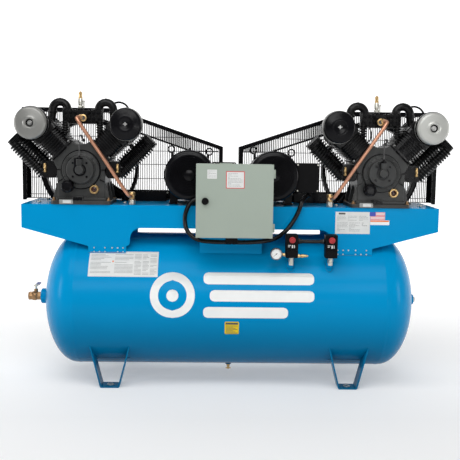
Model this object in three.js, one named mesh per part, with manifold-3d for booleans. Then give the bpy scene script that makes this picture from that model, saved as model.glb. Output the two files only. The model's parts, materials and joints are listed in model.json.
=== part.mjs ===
// Twin stack air compressor: two belt-driven V pumps and two motors on a deck over one horizontal air receiver.
// Millimetres, +Z up, +X to the right, the control side faces -Y.
// The receiver axis lies on Y = 0 while parts are made; the last step moves everything so the origin is the bottom centre.
import * as THREE from 'three';
import { mergeVertices } from 'three/addons/utils/BufferGeometryUtils.js';
import Module from 'manifold-3d';

// ---- driving dimensions ----
const TANK_R = 305, TANK_Z = 364, TANK_STRAIGHT = 694, TANK_HEAD = 152.5, TANK_WALL = 6, TANK_SEG = 36;
const FOOT_X = 530, FOOT_HALF_BOTTOM = 43.5, FOOT_HALF_TOP = 90, FOOT_PLATE = 6, FOOT_Y0 = 178, FOOT_Y1 = 249;
const DECK_Z = 810, DECK_X = 922, DECK_Y = 193, DECK_T = 5, PANEL_T = 4;
const PUMP_X = 660, CRANK_Z = 963, BANK_ANGLE = Math.PI / 4;
const CASE_Y0 = -185, CASE_Y1 = 25;
const BLOCK_S0 = 115.3, BLOCK_S1 = 215, HEAD_S0 = 215.3, HEAD_S1 = 285;
const FLY_R = 226, PULLEY_R = 92, WHEEL_Y0 = 72, WHEEL_Y1 = 122;
const MOTOR_X = 186, MOTOR_Z = 944, FAN_R = 111, FRAME_R = 103;
const GUARD_Y0 = 45, GUARD_Y1 = 150, GUARD_OUT = 970, GUARD_IN = 37, GUARD_TOP = 1240, GUARD_BOTTOM = 811;
const BOX_X0 = -151, BOX_X1 = 171, BOX_Z0 = 690, BOX_Z1 = 998, BOX_Y0 = -338, BOX_Y1 = -225.3;
const DOOR_FRONT = -350, HINGE_X = 178, HINGE_Y = -338.2;
const GAP = 0.3;
// Middle of the finished bounding box, in the making frame.
const CENTRE_X = 0, CENTRE_Y = -29.5;

const wasm = await Module();
wasm.setup();

// ---- helpers ----
function solid(geo) {
  let g = geo.index ? geo.toNonIndexed() : geo.clone();
  g.deleteAttribute('normal');
  g.deleteAttribute('uv');
  g = mergeVertices(g, 1e-4);
  const idx = g.index.array, keep = [];
  for (let i = 0; i < idx.length; i += 3) {
    if (idx[i] !== idx[i + 1] && idx[i + 1] !== idx[i + 2] && idx[i] !== idx[i + 2]) keep.push(idx[i], idx[i + 1], idx[i + 2]);
  }
  const make = (tri) => new wasm.Manifold(new wasm.Mesh({
    numProp: 3, vertProperties: Float32Array.from(g.attributes.position.array), triVerts: Uint32Array.from(tri),
  }));
  const m = make(keep);
  if (m.volume() >= 0) return m;
  const flipped = [];
  for (let i = 0; i < keep.length; i += 3) flipped.push(keep[i], keep[i + 2], keep[i + 1]);
  return make(flipped);
}
const add = (...ms) => ms.flat().reduce((a, b) => a.add(b));
const cut = (a, ...ms) => ms.flat().reduce((p, b) => p.subtract(b), a);
function box(x0, x1, y0, y1, z0, z1) {
  const g = new THREE.BoxGeometry(x1 - x0, y1 - y0, z1 - z0);
  g.translate((x0 + x1) / 2, (y0 + y1) / 2, (z0 + z1) / 2);
  return solid(g);
}
function cylY(x, z, r, y0, y1, n = 24, turn = 0, r1 = r) {
  const g = new THREE.CylinderGeometry(r1, r, y1 - y0, n);
  g.rotateY(turn);
  g.translate(x, (y0 + y1) / 2, -z);
  g.applyMatrix4(new THREE.Matrix4().makeScale(1, 1, 1));
  const p = g.attributes.position;
  for (let i = 0; i < p.count; i++) p.setZ(i, -p.getZ(i));
  return solid(g);
}
function cylX(y, z, r, x0, x1, n = 24, turn = 0) {
  const g = new THREE.CylinderGeometry(r, r, x1 - x0, n);
  g.rotateY(turn);
  g.rotateZ(-Math.PI / 2);
  g.translate((x0 + x1) / 2, y, z);
  return solid(g);
}
function cylZ(x, y, r, z0, z1, n = 24, turn = 0) {
  const g = new THREE.CylinderGeometry(r, r, z1 - z0, n);
  g.rotateY(turn);
  g.rotateX(Math.PI / 2);
  g.translate(x, y, (z0 + z1) / 2);
  return solid(g);
}
// Outline points are [x, z]; the plate runs from y0 to y1.
function plateY(points, y0, y1, holes = []) {
  const s = new THREE.Shape(points.map((p) => new THREE.Vector2(p[0], p[1])));
  for (const h of holes) s.holes.push(new THREE.Path(h.map((p) => new THREE.Vector2(p[0], p[1]))));
  const g = new THREE.ExtrudeGeometry(s, { depth: y1 - y0, bevelEnabled: false, curveSegments: 8 });
  g.rotateX(Math.PI / 2);
  g.translate(0, y1, 0);
  return solid(g);
}
// Outline points are [x, y]; the slab runs from z0 to z1.
function slabZ(points, z0, z1) {
  const s = new THREE.Shape(points.map((p) => new THREE.Vector2(p[0], p[1])));
  const g = new THREE.ExtrudeGeometry(s, { depth: z1 - z0, bevelEnabled: false });
  g.translate(0, 0, z0);
  return solid(g);
}
// Rectangle with cut corners.
function cutRect(x0, x1, y0, y1, c) {
  return [[x0 + c, y0], [x1 - c, y0], [x1, y0 + c], [x1, y1 - c], [x1 - c, y1], [x0 + c, y1], [x0, y1 - c], [x0, y0 + c]];
}
function circle(x, z, r, n, turn = 0) {
  const out = [];
  for (let i = 0; i < n; i++) {
    const a = turn + (2 * Math.PI * i) / n;
    out.push([x + r * Math.cos(a), z + r * Math.sin(a)]);
  }
  return out;
}
// Turned about a line parallel to Y; profile points are [radius, y], starting and ending on the axis.
function turnedY(x, z, profile, n) {
  const g = new THREE.LatheGeometry(profile.map((p) => new THREE.Vector2(p[0], p[1])), n);
  g.translate(x, 0, z);
  return solid(g);
}
function tube(points, r, n, steps) {
  const curve = new THREE.CatmullRomCurve3(points.map((p) => new THREE.Vector3(...p)), false, 'centripetal');
  const s = new THREE.Shape(circle(0, 0, r, n).map((p) => new THREE.Vector2(p[0], p[1])));
  return solid(new THREE.ExtrudeGeometry(s, { steps, bevelEnabled: false, extrudePath: curve }));
}
const deg = (d) => (d * Math.PI) / 180;
function moved(m, x, y, z) { return m.translate([x, y, z]); }

const group = new THREE.Group();
function node(name, m, material) {
  const mesh = m.getMesh();
  const g = new THREE.BufferGeometry();
  const np = mesh.numProp, src = mesh.vertProperties, pos = new Float32Array((src.length / np) * 3);
  for (let i = 0; i < pos.length / 3; i++) for (let k = 0; k < 3; k++) pos[i * 3 + k] = src[i * np + k];
  g.setAttribute('position', new THREE.BufferAttribute(pos, 3));
  g.setIndex(new THREE.BufferAttribute(Uint32Array.from(mesh.triVerts), 1));
  g.translate(-CENTRE_X, -CENTRE_Y, 0);
  g.computeVertexNormals();
  const out = new THREE.Mesh(g, material.clone());
  out.name = name;
  group.add(out);
}
const mat = (c, r, m) => new THREE.MeshStandardMaterial({ color: c, roughness: r, metalness: m });
const BLUE = mat(0x0083c4, 0.35, 0.1), IRON = mat(0x33363a, 0.55, 0.3), BLACK = mat(0x16171a, 0.5, 0.1);
const GREY = mat(0x9da89d, 0.55, 0.1), BRASS = mat(0xb8924a, 0.35, 0.9), COPPER = mat(0xc47f62, 0.35, 0.9);
const SILVER = mat(0xb9bcb6, 0.4, 0.6), ZINC = mat(0xa8adb0, 0.4, 0.8), RED = mat(0xc02a2a, 0.5, 0.0), STEEL = mat(0x8d9296, 0.35, 0.9);

// ---- air receiver ----
function receiverShell(r, head, n, rings) {
  const pts = [];
  for (let i = 0; i <= rings; i++) {
    const a = (i / rings) * (Math.PI / 2);
    pts.push([r * Math.sin(a), -TANK_STRAIGHT - head * Math.cos(a)]);
  }
  for (let i = rings; i >= 0; i--) {
    const a = (i / rings) * (Math.PI / 2);
    pts.push([r * Math.sin(a), TANK_STRAIGHT + head * Math.cos(a)]);
  }
  const g = new THREE.LatheGeometry(pts.map((p) => new THREE.Vector2(Math.max(p[0], 0), p[1])), n);
  g.rotateZ(-Math.PI / 2);
  g.translate(0, 0, TANK_Z);
  return solid(g);
}
const SWITCH_X = [262, 433], SWITCH_Z0 = 597, SWITCH_Z1 = 700, PORT_Z = 572;
{
  let m = receiverShell(TANK_R, TANK_HEAD, TANK_SEG, 6);
  m = add(m,
    cylX(0, TANK_Z, 35, -877, -840, 20), cylX(0, TANK_Z, 24, 840, 868, 16), cylX(0, TANK_Z, 13, 867, 877, 6),
    cylZ(0, 0, 14, 46, 70, 12), ...SWITCH_X.map((x) => cylY(x, PORT_Z, 14, -238, -195, 12)));
  m = cut(m, receiverShell(TANK_R - TANK_WALL, TANK_HEAD - TANK_WALL, 24, 4),
    cylX(0, TANK_Z, 12, -880, -820, 12), cylZ(0, 0, 5, 40, 80, 8), ...SWITCH_X.map((x) => cylY(x, PORT_Z, 5, -240, -180, 8)));
  node('air_receiver', m, BLUE);
}
// ---- feet: bent strap, open towards the front ----
const receiverClear = cylX(0, TANK_Z, TANK_R + 0.6, -930, 930, TANK_SEG);
function foot(sx, sy) {
  const t = FOOT_PLATE, hb = FOOT_HALF_BOTTOM, ht = FOOT_HALF_TOP, zt = 232, k = (ht - hb) / 188;
  const outer = [[-hb - k * zt, zt], [-hb, 5], [-hb + 5, 0], [hb - 5, 0], [hb, 5], [hb + k * zt, zt]];
  const inner = [[hb - t + k * zt, zt], [hb - t - 1, t], [-hb + t + 1, t], [-hb + t - k * zt, zt]];
  const pts = outer.concat(inner).map((p) => [p[0] + sx * FOOT_X, p[1]]);
  const y0 = sy < 0 ? -FOOT_Y1 : FOOT_Y0, y1 = sy < 0 ? -FOOT_Y0 : FOOT_Y1;
  return cut(plateY(pts, y0, y1), receiverClear, cylZ(sx * FOOT_X, (y0 + y1) / 2, 8, -1, 10, 12));
}
node('foot_front_left', foot(-1, -1), BLUE);
node('foot_front_right', foot(1, -1), BLUE);
node('foot_rear_left', foot(-1, 1), BLUE);
node('foot_rear_right', foot(1, 1), BLUE);

// ---- base frame: folded channel on three saddle pads, slots for the flywheels ----
{
  const half = [[DECK_X, DECK_Z], [DECK_X, 706], [630, 627], [630, 592], [462, 592], [462, 628], [451, 633], [446, 645], [446, 661]];
  for (let i = 1; i <= 5; i++) {
    const a = deg(18 * i);
    half.push([398 + 48 * Math.cos(a), 661 + 48 * Math.sin(a)]);
  }
  half.push([138, 709], [138, 600]);
  const left = half.map((p) => [-p[0], p[1]]).reverse();
  const outline = half.concat(left);
  let m = add(
    box(-DECK_X, DECK_X, -DECK_Y, DECK_Y, DECK_Z - DECK_T, DECK_Z),
    plateY(outline, -DECK_Y, -DECK_Y + PANEL_T), plateY(outline, DECK_Y - PANEL_T, DECK_Y),
    box(-DECK_X, -DECK_X + PANEL_T, -DECK_Y, DECK_Y, 706, DECK_Z), box(DECK_X - PANEL_T, DECK_X, -DECK_Y, DECK_Y, 706, DECK_Z),
    box(-112, -78, -225, -DECK_Y + 1, 716, 800), box(98, 132, -225, -DECK_Y + 1, 716, 800));
  m = cut(m, receiverClear, box(-855, -288, 62, 134, 780, 820), box(288, 855, 62, 134, 780, 820));
  node('base_frame', m, BLUE);
}

// ---- control enclosure ----
{
  const w = 3;
  let m = cut(box(BOX_X0, BOX_X1, BOX_Y0, BOX_Y1, BOX_Z0, BOX_Z1), box(BOX_X0 + w, BOX_X1 - w, BOX_Y0 - 1, BOX_Y1 - w, BOX_Z0 + w, BOX_Z1 - w));
  for (const z of [712, 942]) m = add(m, box(BOX_X1 - 1, HINGE_X, -338, -334.4, z, z + 18), cylZ(HINGE_X, HINGE_Y, 4, z, z + 18, 10));
  m = add(m, box(-54, 0, -310, -296, BOX_Z1 - 1, BOX_Z1 + 5));
  node('control_enclosure', m, GREY);
}
const LATCH_X = -114, LATCH_Z = 843;
{
  let m = cut(box(BOX_X0 - 2, BOX_X1 + 2, DOOR_FRONT, BOX_Y0 - GAP, BOX_Z0 - 2, BOX_Z1 + 2),
    box(BOX_X0 + 1, BOX_X1 - 1, DOOR_FRONT + 2.5, BOX_Y0 + 1, BOX_Z0 + 1, BOX_Z1 - 1), cylY(LATCH_X, LATCH_Z, 4.5, -352, -345, 12));
  for (const z of [730.5, 960.5]) m = add(m, box(BOX_X1 + 1, HINGE_X, -342, -338.6, z, z + 18), cylZ(HINGE_X, HINGE_Y, 4, z, z + 18, 10));
  node('enclosure_door', m, GREY);
  node('door_latch', add(cylY(LATCH_X, LATCH_Z, 15, -361, DOOR_FRONT - GAP, 20), box(LATCH_X - 3, LATCH_X + 3, -364, -360, LATCH_Z - 13, LATCH_Z + 13),
    cylY(LATCH_X, LATCH_Z, 4, -352, -340, 12), box(LATCH_X - 28, LATCH_X + 6, -346.6, -343, LATCH_Z - 6, LATCH_Z + 6)), BLACK);
  node('starter_panel', add(box(-136, 156, -232, -229, 706, 982), box(-112, -36, -300, -231, 850, 950), box(20, 96, -300, -231, 850, 950), box(-110, 110, -276, -231, 744, 790)), ZINC);
}

// ---- outlet ball valve, lever along +Y when closed ----
const VALVE_X = -904;
{
  let m = add(cylX(0, TANK_Z, 13.5, -936, -884, 16), cylX(0, TANK_Z, 16, -938, -926, 6), cylX(0, TANK_Z, 15.5, -890, -877.5, 6), cylX(0, TANK_Z, 17, -914, -894, 12));
  m = add(m, cylZ(VALVE_X, 0, 7.5, TANK_Z, TANK_Z + 33, 12));
  m = cut(m, cylX(0, TANK_Z, 8, -940, -876, 10));
  node('ball_valve_body', m, BRASS);
  const lever = plateY([[-8, 0], [8, 0], [8, 3], [-8, 3]], -9, 78);
  node('ball_valve_lever', add(moved(lever, VALVE_X, 0, TANK_Z + 46), cylZ(VALVE_X, 0, 5.5, TANK_Z + 33.4, TANK_Z + 52, 6), moved(plateY([[-9, -3], [9, -3], [9, 4], [-9, 4]], 30, 80), VALVE_X, 0, TANK_Z + 47)), BLUE);
}
// ---- drain cock ----
node('drain_valve_body', cut(add(cylZ(0, 0, 7, 31, 45.6, 10), cylZ(0, 0, 10, 40, 45.6, 6)), cylZ(0, 0, 3, 30, 50, 8)), BRASS);
node('drain_valve_tee', add(cylZ(0, 0, 5, 21, 30.6, 10), box(-12, 12, -2.2, 2.2, 22, 27)), BRASS);

// ---- pressure switches, knobs, gauge ----
{
  const bodyOf = (x) => add(box(x - 26.5, x + 26.5, -304, -248, SWITCH_Z0 + 30, SWITCH_Z1), box(x - 24.5, x + 24.5, -300, -248, SWITCH_Z0, SWITCH_Z0 + 31),
    cylZ(x, -270, 11, PORT_Z - 10, SWITCH_Z0 + 1, 8), cylY(x, PORT_Z, 9, -275, -238.4, 10));
  node('pressure_switch_left', add(bodyOf(SWITCH_X[0]), cylX(-272, 604, 6.5, SWITCH_X[0] + 20, 316, 10), cylX(-272, 604, 9, 300, 312, 6), cylX(-272, 604, 5, 315, 334, 10)), BLACK);
  node('pressure_switch_right', add(bodyOf(SWITCH_X[1]), cylX(-272, 668, 8, SWITCH_X[0] + 26.5 + GAP, SWITCH_X[1] - 20, 12)), BLACK);
  const knob = (x) => add(cylY(x, 677, 13.5, -313, -304 - GAP, 16), box(x - 3, x + 3, -317, -312, 666, 688));
  node('switch_knob_left', knob(SWITCH_X[0]), RED);
  node('switch_knob_right', knob(SWITCH_X[1]), RED);
  const gx = 194, gz = 616;
  node('pressure_gauge', add(cylY(gx, gz, 26, -312, -288, 28), cylY(gx, gz, 9, -289, -264, 6), cylX(-272, gz, 6.5, gx, SWITCH_X[0] - 24.8, 10)), SILVER);
}
// ---- motor conduits ----
{
  let m = tube([[-50, -125, 869], [-53, -132, 858], [-80, -176, 846], [-120, -204, 842], [-158, -209, 839], [-184, -212, 818], [-199, -218, 784], [-203, -222, 749], [-195, -232, 711],
    [-172, -245, 682], [-137, -262, 666], [-81, -275, 662], [-24, -278, 661], [0, -278, 661]], 10, 8, 20);
  const leftLead = add(cut(m, box(-90, -10, -170, -80, 868, 900)), cylZ(-50, -125, 13, 862, 871.6, 8));
  m = tube([[6, -278, 661], [32, -278, 661], [80, -276, 662], [132, -270, 665], [174, -262, 672], [205, -250, 683], [226, -234, 697], [248, -225, 716], [273, -217, 750], [294, -213, 790], [309, -205, 830], [326, -172, 850], [345, -132, 860], [349, -125, 869]], 10, 8, 20);
  node('motor_conduits', add(leftLead, cut(m, box(310, 390, -170, -80, 868, 900)), box(-26, 28, -292, -264, 657, 678), cylZ(349, -125, 13, 862, 871.6, 8)), BLACK);
}

// ---- one pump and motor set ----
function unit(side) {
  const so = side === 'left' ? -1 : 1;          // towards the outer end
  const cx = so * PUMP_X, mx = so * MOTOR_X;
  const N = (n) => `${side}_${n}`;
  const at = (m) => moved(m, cx, 0, CRANK_Z);
  // sx is +1 for the bank leaning to +X; local X across the bank, local Z along it.
  const bank = (m, sx) => at(m.rotate([0, (sx * BANK_ANGLE * 180) / Math.PI, 0]));
  const banks = [['outer', so], ['inner', -so]];

  // crankcase
  const caseOutline = [[-104, -126], [104, -126], [104, 0], [123.5, 39.2], [39.2, 123.5], [-39.2, 123.5], [-123.5, 39.2], [-104, 0]];
  const cavity = [[-92, -112], [92, -112], [92, 4], [106, 38], [38, 106], [-38, 106], [-106, 38], [-92, 4]];
  let m = add(plateY(caseOutline, CASE_Y0, CASE_Y1), box(-131, 131, -200, 32, -152.7, -124), cylY(0, 0, 92, -200, CASE_Y0 + 1, 28),
    cylY(-54, -73, 26, -243, CASE_Y0 + 1, 12), cylY(57, -86, 19, -197, CASE_Y0 + 1, 12), cylY(0, 0, 42, CASE_Y1 - 1, 38, 20));
  const bores = [];
  for (const sx of [-1, 1]) bores.push(slabZ(cutRect(-46, 46, -172, 8, 20), 90, 118).rotate([0, sx * 45, 0]));
  m = cut(m, plateY(cavity, CASE_Y0 + 10, CASE_Y1 - 10), cylY(0, 0, 22, 10, 40, 20), bores);
  // bearing cover with its blind front bearing, boss and oil line
  m = add(m, cylY(0, 0, 60, -222, -199, 24), cylY(0, 0, 34, -200, -160, 20), cylY(0, 0, 18, -245, -221, 12), box(-11, 11, -240, -221, 0, 36),
    tube([[0, -232, 30], [0, -232, 80], [0, -232, 128], [4, -232, 142], [12, -228, 140]], 3.2, 5, 7));
  m = cut(m, cylY(0, 0, 20.6, -216, -159, 16));
  node(N('crankcase'), at(m), IRON);

  // crankshaft and flywheel
  m = add(cylY(0, 0, 20, -214, -140, 16), plateY([[-24, -34], [24, -34], [24, 58], [-24, 58]], -158, -142), cylY(0, 40, 18, -143, -15, 12),
    plateY([[-24, -34], [24, -34], [24, 58], [-24, 58]], -16, 0), cylY(0, 0, 20, -1, 126, 16));
  node(N('crankshaft'), at(m), STEEL);
  const windows = [];
  for (let k = 0; k < 4; k++) {
    const a0 = deg(90 * k + 45), w = [];
    for (let i = 0; i <= 4; i++) { const a = a0 + deg(6) + (i / 4) * deg(78); w.push([207 * Math.cos(a), 207 * Math.sin(a)]); }
    for (let i = 2; i >= 0; i--) { const a = a0 + deg(22) + (i / 2) * deg(46); w.push([48 * Math.cos(a), 48 * Math.sin(a)]); }
    windows.push(w);
  }
  m = cut(add(cylY(0, 0, FLY_R, WHEEL_Y0, WHEEL_Y1, 36).subtract(cylY(0, 0, 210, WHEEL_Y0 - 1, WHEEL_Y1 + 1, 36)),
    plateY(circle(0, 0, 214, 36), 88, 106, windows), cylY(0, 0, 40, WHEEL_Y0 - 2, WHEEL_Y1, 16)), cylY(0, 0, 20.6, 60, 130, 16));
  node(N('flywheel'), at(m), BLACK);

  for (const [name, sx] of banks) {
    // cylinder block
    const parts = [slabZ(cutRect(-60, 60, -200, 20, 6), BLOCK_S0, 126), slabZ(cutRect(-50, 50, -190, 10, 26), 125, BLOCK_S1 - 1), slabZ(cutRect(-58, 58, -198, 18, 14), 207, BLOCK_S1)];
    for (let i = 0; i < 6; i++) parts.push(slabZ(cutRect(-59, 59, -199, 19, 22), 132 + 12.5 * i, 136.5 + 12.5 * i));
    m = cut(add(parts), moved(cylZ(0, -146, 40, 100, 230, 14), 0, 0, 0), cylZ(0, -34, 40, 100, 230, 14));
    node(N(`cylinder_block_${name}`), bank(m, sx), IRON);
    // head
    m = add(slabZ(cutRect(-61, 61, -201, 21, 14), HEAD_S0, 262), slabZ(cutRect(-50, 50, -192, 12, 12), 261, HEAD_S1));
    m = cut(m, box(-62, 62, -94, -86, 240, 290));
    node(N(`cylinder_head_${name}`), bank(m, sx), IRON);
    // air filter canister in front of the head
    const fx = sx * 204, fz = 199, nx = sx * 186, nz = 184;
    m = add(turnedY(fx, fz, [[0, -277], [13, -277], [25, -284], [40, -290], [56, -288], [68, -280], [73, -268], [73, -217], [63, -211], [0, -211]], 24),
      cylY(nx, nz, 24, -212, -201 - GAP, 14));
    node(N(`air_filter_${name}`), at(m), name === 'outer' ? SILVER : BLACK);
    // intercooler: two finned tubes, end block, collector beside the crankcase
    const px = sx * 134, qx = sx * 100;
    const ic = [];
    for (const [p, y] of [[px, -150], [qx, -80]]) {
      ic.push(cylZ(p, y, 14, 100, 300, 6, Math.PI / 6));
      for (let i = 0; i < 6; i++) ic.push(cylZ(p, y, 28, 124 + 28 * i, 130 + 28 * i, 8, Math.PI / 8));
    }
    const lo = Math.min(px, qx) - 17, hi = Math.max(px, qx) + 17;
    ic.push(slabZ(cutRect(lo, hi, -174, -56, 12), 288, 312));
    const low = [[127, -38], [172, -38], [172, 14], [152, 36], [127, 36], [127, -3], [107, -3], [107, -38]].map((p) => [sx * p[0], p[1]]);
    m = bank(add(ic), sx);
    m = add(m, at(plateY(sx > 0 ? low : low.reverse(), -176, -56)), at(cylZ(sx * 158, -180, 6.5, -13, 27, 8)), at(cylZ(sx * 158, -178, 9, -30, -12, 6)));
    m = cut(m, at(plateY(caseOutline.map((p) => [p[0] * 1.008, p[1]]), -190, 30)));
    node(N(`intercooler_${name}`), m, BLACK);
  }

  // discharge manifold: header and two return bends
  const bends = [];
  for (const sx of [-1, 1]) {
    const pts = [[sx * 65, -120, 240], [sx * 65, -120, 262]];
    for (let i = 1; i < 8; i++) { const a = (Math.PI * i) / 8; pts.push([sx * (100 - 35 * Math.cos(a)), -120, 263 + 35 * Math.sin(a)]); }
    pts.push([sx * 135, -120, 262], [sx * 135, -120, 196]);
    const path = new THREE.CurvePath();
    for (let i = 0; i + 1 < pts.length; i++) path.add(new THREE.LineCurve3(new THREE.Vector3(...pts[i]), new THREE.Vector3(...pts[i + 1])));
    let t = tube(pts, 18, 8, 16);
    t = cut(t, slabZ(cutRect(-61.6, 61.6, -260, 60, 1), 150, 320).rotate([0, sx * 45, 0]));
    bends.push(t);
  }
  m = add(plateY(cutRect(-88, 88, 207, 262, 8), -152, -88), bends, cylY(0, 227, 16, -165, -150, 12), cylZ(-14, -104, 14, 255, 268, 8));
  node(N('discharge_manifold'), at(m), IRON);

  // safety valve
  m = add(cylZ(-14, -104, 11, 268.3, 312, 10), cylZ(-14, -104, 13, 268.3, 279, 6), cylZ(-14, -104, 6, 311, 330, 8), cylZ(-14, -104, 8, 329, 343, 8), box(-9, 4, -114, -110.3, 296, 304), box(-9, 4, -97.7, -94, 296, 304));
  node(N('safety_valve'), at(m), SILVER);
  node(N('safety_valve_lever'), at(add(cylY(1.5, 300, 4, -110, -98, 10), box(-1.8, 3.5, -107, -101, 270, 299))), ZINC);

  // discharge pipe down to the check valve on the deck
  const si = -so;
  m = add(cylY(0, 227, 14, -190, -165 - GAP, 6), cylY(0, 227, 12, -204, -189, 10),
    tube([[0, -197, 227], [-si * 8, -203, 227], [-si * 13, -212, 222], [-si * 6, -216, 210], [si * 8, -216, 188], [si * 110, -213, 38], [si * 200, -208, -97], [si * 212, -198, -112], [si * 220, -182, -115], [si * 221, -168, -115]], 9, 8, 18),
    cylZ(si * 221, -165, 14, -122, -96, 10), cylZ(si * 221, -165, 13, -130, -121, 10), cylZ(si * 221, -165, 16, -152.7, -129, 6));
  node(N('discharge_pipe'), at(m), COPPER);

  // motor frame, hollow round the rotor
  const mm = (p) => moved(p, mx, 0, MOTOR_Z);
  const parts = [turnedY(0, 0, [[0, -207], [60, -207], [96, -203], [FAN_R, -190], [FAN_R, -150], [FRAME_R - 4, -147], [FRAME_R, -140], [FRAME_R, 6], [96, 14], [60, 30], [34, 38], [0, 38]], 24)];
  for (const a of [-64, -20, 20, 64, -90]) parts.push(box(-2.5, 2.5, -140, 2, 90, FRAME_R + 6).rotate([0, a, 0]));
  parts.push(box(-92, -56, -112, 6, -MOTOR_Z + DECK_Z + GAP, -58), box(56, 92, -112, 6, -MOTOR_Z + DECK_Z + GAP, -58));
  parts.push(box(98, 206, -152, -54, -72, 59));
  for (const [x, z, tilt] of [[-86, 112, 38], [86, 103, -38]]) {
    const ring = new THREE.TorusGeometry(15, 3.2, 4, 8);
    ring.rotateX(Math.PI / 2);
    parts.push(moved(solid(ring), x, -70, z), box(-6, 6, -76, -64, 88, 124).rotate([0, x < 0 ? -tilt : -tilt, 0]));
  }
  m = cut(add(parts), cylY(0, 0, 72, -135, 5, 24), cylY(0, 0, 15, 0, 45, 16));
  node(N('motor_frame'), mm(m), BLACK);
  // rotor, shaft and grooved pulley
  m = add(cylY(0, 0, 60, -115, -15, 24), cylY(0, 0, 14, -116, 126, 16), cylY(0, 0, PULLEY_R, WHEEL_Y0, WHEEL_Y1, 32), cylY(0, 0, 30, WHEEL_Y0 - 12, WHEEL_Y0 + 1, 16));
    node(N('motor_rotor'), mm(m), STEEL);

  // drive belt loop, just clear of both rims
  const loop = (extra) => {
    const R = FLY_R + extra, r = PULLEY_R + extra, dx = mx - cx, dz = MOTOR_Z - CRANK_Z, D = Math.hypot(dx, dz), base = Math.atan2(dz, dx), th = Math.acos((R - r) / D), pts = [];
    for (let i = 0; i <= 16; i++) { const a = base + th + (i / 16) * (2 * Math.PI - 2 * th); pts.push([cx + R * Math.cos(a), CRANK_Z + R * Math.sin(a)]); }
    for (let i = 0; i <= 9; i++) { const a = base - th + (i / 9) * 2 * th; pts.push([mx + r * Math.cos(a), MOTOR_Z + r * Math.sin(a)]); }
    return pts;
  };
  node(N('drive_belts'), plateY(loop(9), 79, 115, [loop(2.6)]), BLACK);

  // belt guard: bent band with flanges, wire panels
  const g = [[GUARD_OUT, GUARD_BOTTOM], [GUARD_OUT, GUARD_TOP], [546, GUARD_TOP], [GUARD_IN, 1069], [GUARD_IN, GUARD_BOTTOM]];
  const inset = (d) => [[GUARD_OUT - d, GUARD_BOTTOM - (d > 5 ? -d : 10)], [GUARD_OUT - d, GUARD_TOP - d], [546 + d * 0.16, GUARD_TOP - d], [GUARD_IN + d, 1069 - d * 0.72], [GUARD_IN + d, GUARD_BOTTOM - (d > 5 ? -d : 10)]];
  const S = (pts) => { const q = pts.map((p) => [so * p[0], p[1]]); return so > 0 ? q : q.reverse(); };
  const band = cut(plateY(S(g), GUARD_Y0, GUARD_Y1), plateY(S(inset(3)), GUARD_Y0 - 1, GUARD_Y1 + 1));
  const flange = inset(18);
  flange[0][1] = flange[4][1] = GUARD_BOTTOM - 5;
  const ring = (y0) => cut(plateY(S(g), y0, y0 + 3), plateY(S(flange), y0 - 1, y0 + 4));
  const wires = [], mesh = [];
  const topAt = (x) => (x > 546 ? GUARD_TOP - 4 : 1069 + ((x - GUARD_IN) * (GUARD_TOP - 1069)) / (546 - GUARD_IN) - 4);
  // rear wire panel, a separate flat grille just inside the flange
  const MY0 = GUARD_Y1 - 6.3, MY1 = GUARD_Y1 - 3 - GAP;
  const rim = (d) => [[GUARD_OUT - d, GUARD_BOTTOM + d], [GUARD_OUT - d, GUARD_TOP - d], [546 + d * 0.16, GUARD_TOP - d], [GUARD_IN + d, 1069 - d * 0.72], [GUARD_IN + d, GUARD_BOTTOM + d]];
  for (let x = 150; x < GUARD_OUT - 30; x += 115) mesh.push([x - 1.5, x + 1.5, MY0, MY1, 820, topAt(x) - 4]);
  for (const z of [900, 1000]) mesh.push([GUARD_IN + 8, GUARD_OUT - 8, MY0, MY1, z, z + 3]);
  mesh.push([546 - 200, GUARD_OUT - 8, MY0, MY1, 1150, 1153]);
  mesh.push([GUARD_IN + 5, GUARD_OUT - 5, MY0, MY1, GUARD_BOTTOM + 5, 858]);
  // front panel only above the belts and clear of the pump
  for (let x = 150; x < 546; x += 115) wires.push([x - 1.5, x + 1.5, GUARD_Y0, GUARD_Y0 + 3, 1058, topAt(x)]);
  wires.push([GUARD_IN + 2, 560, GUARD_Y0, GUARD_Y0 + 3, 1057, 1061]);
  wires.push([556, 560, GUARD_Y0, GUARD_Y0 + 3, 1057, GUARD_TOP - 2]);
  wires.push([300, 500, GUARD_Y0, GUARD_Y0 + 3, GUARD_BOTTOM, 858], [494, 500, GUARD_Y0, GUARD_Y0 + 3, 850, 1060]);
  const barsOf = (list) => list.map(([x0, x1, y0, y1, z0, z1]) => (so > 0 ? box(x0, x1, y0, y1, z0, z1) : box(-x1, -x0, y0, y1, z0, z1)));
  node(N('guard_mesh'), add(cut(plateY(S(rim(4)), MY0, MY1), plateY(S(rim(12)), MY0 - 1, MY1 + 1)), barsOf(mesh)), BLACK);
  node(N('belt_guard'), add(band, ring(GUARD_Y0), ring(GUARD_Y1 - 3), barsOf(wires)), BLACK);
}
unit('left');
unit('right');

export default group;
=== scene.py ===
import bpy, json, math
from mathutils import Vector, Matrix

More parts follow.
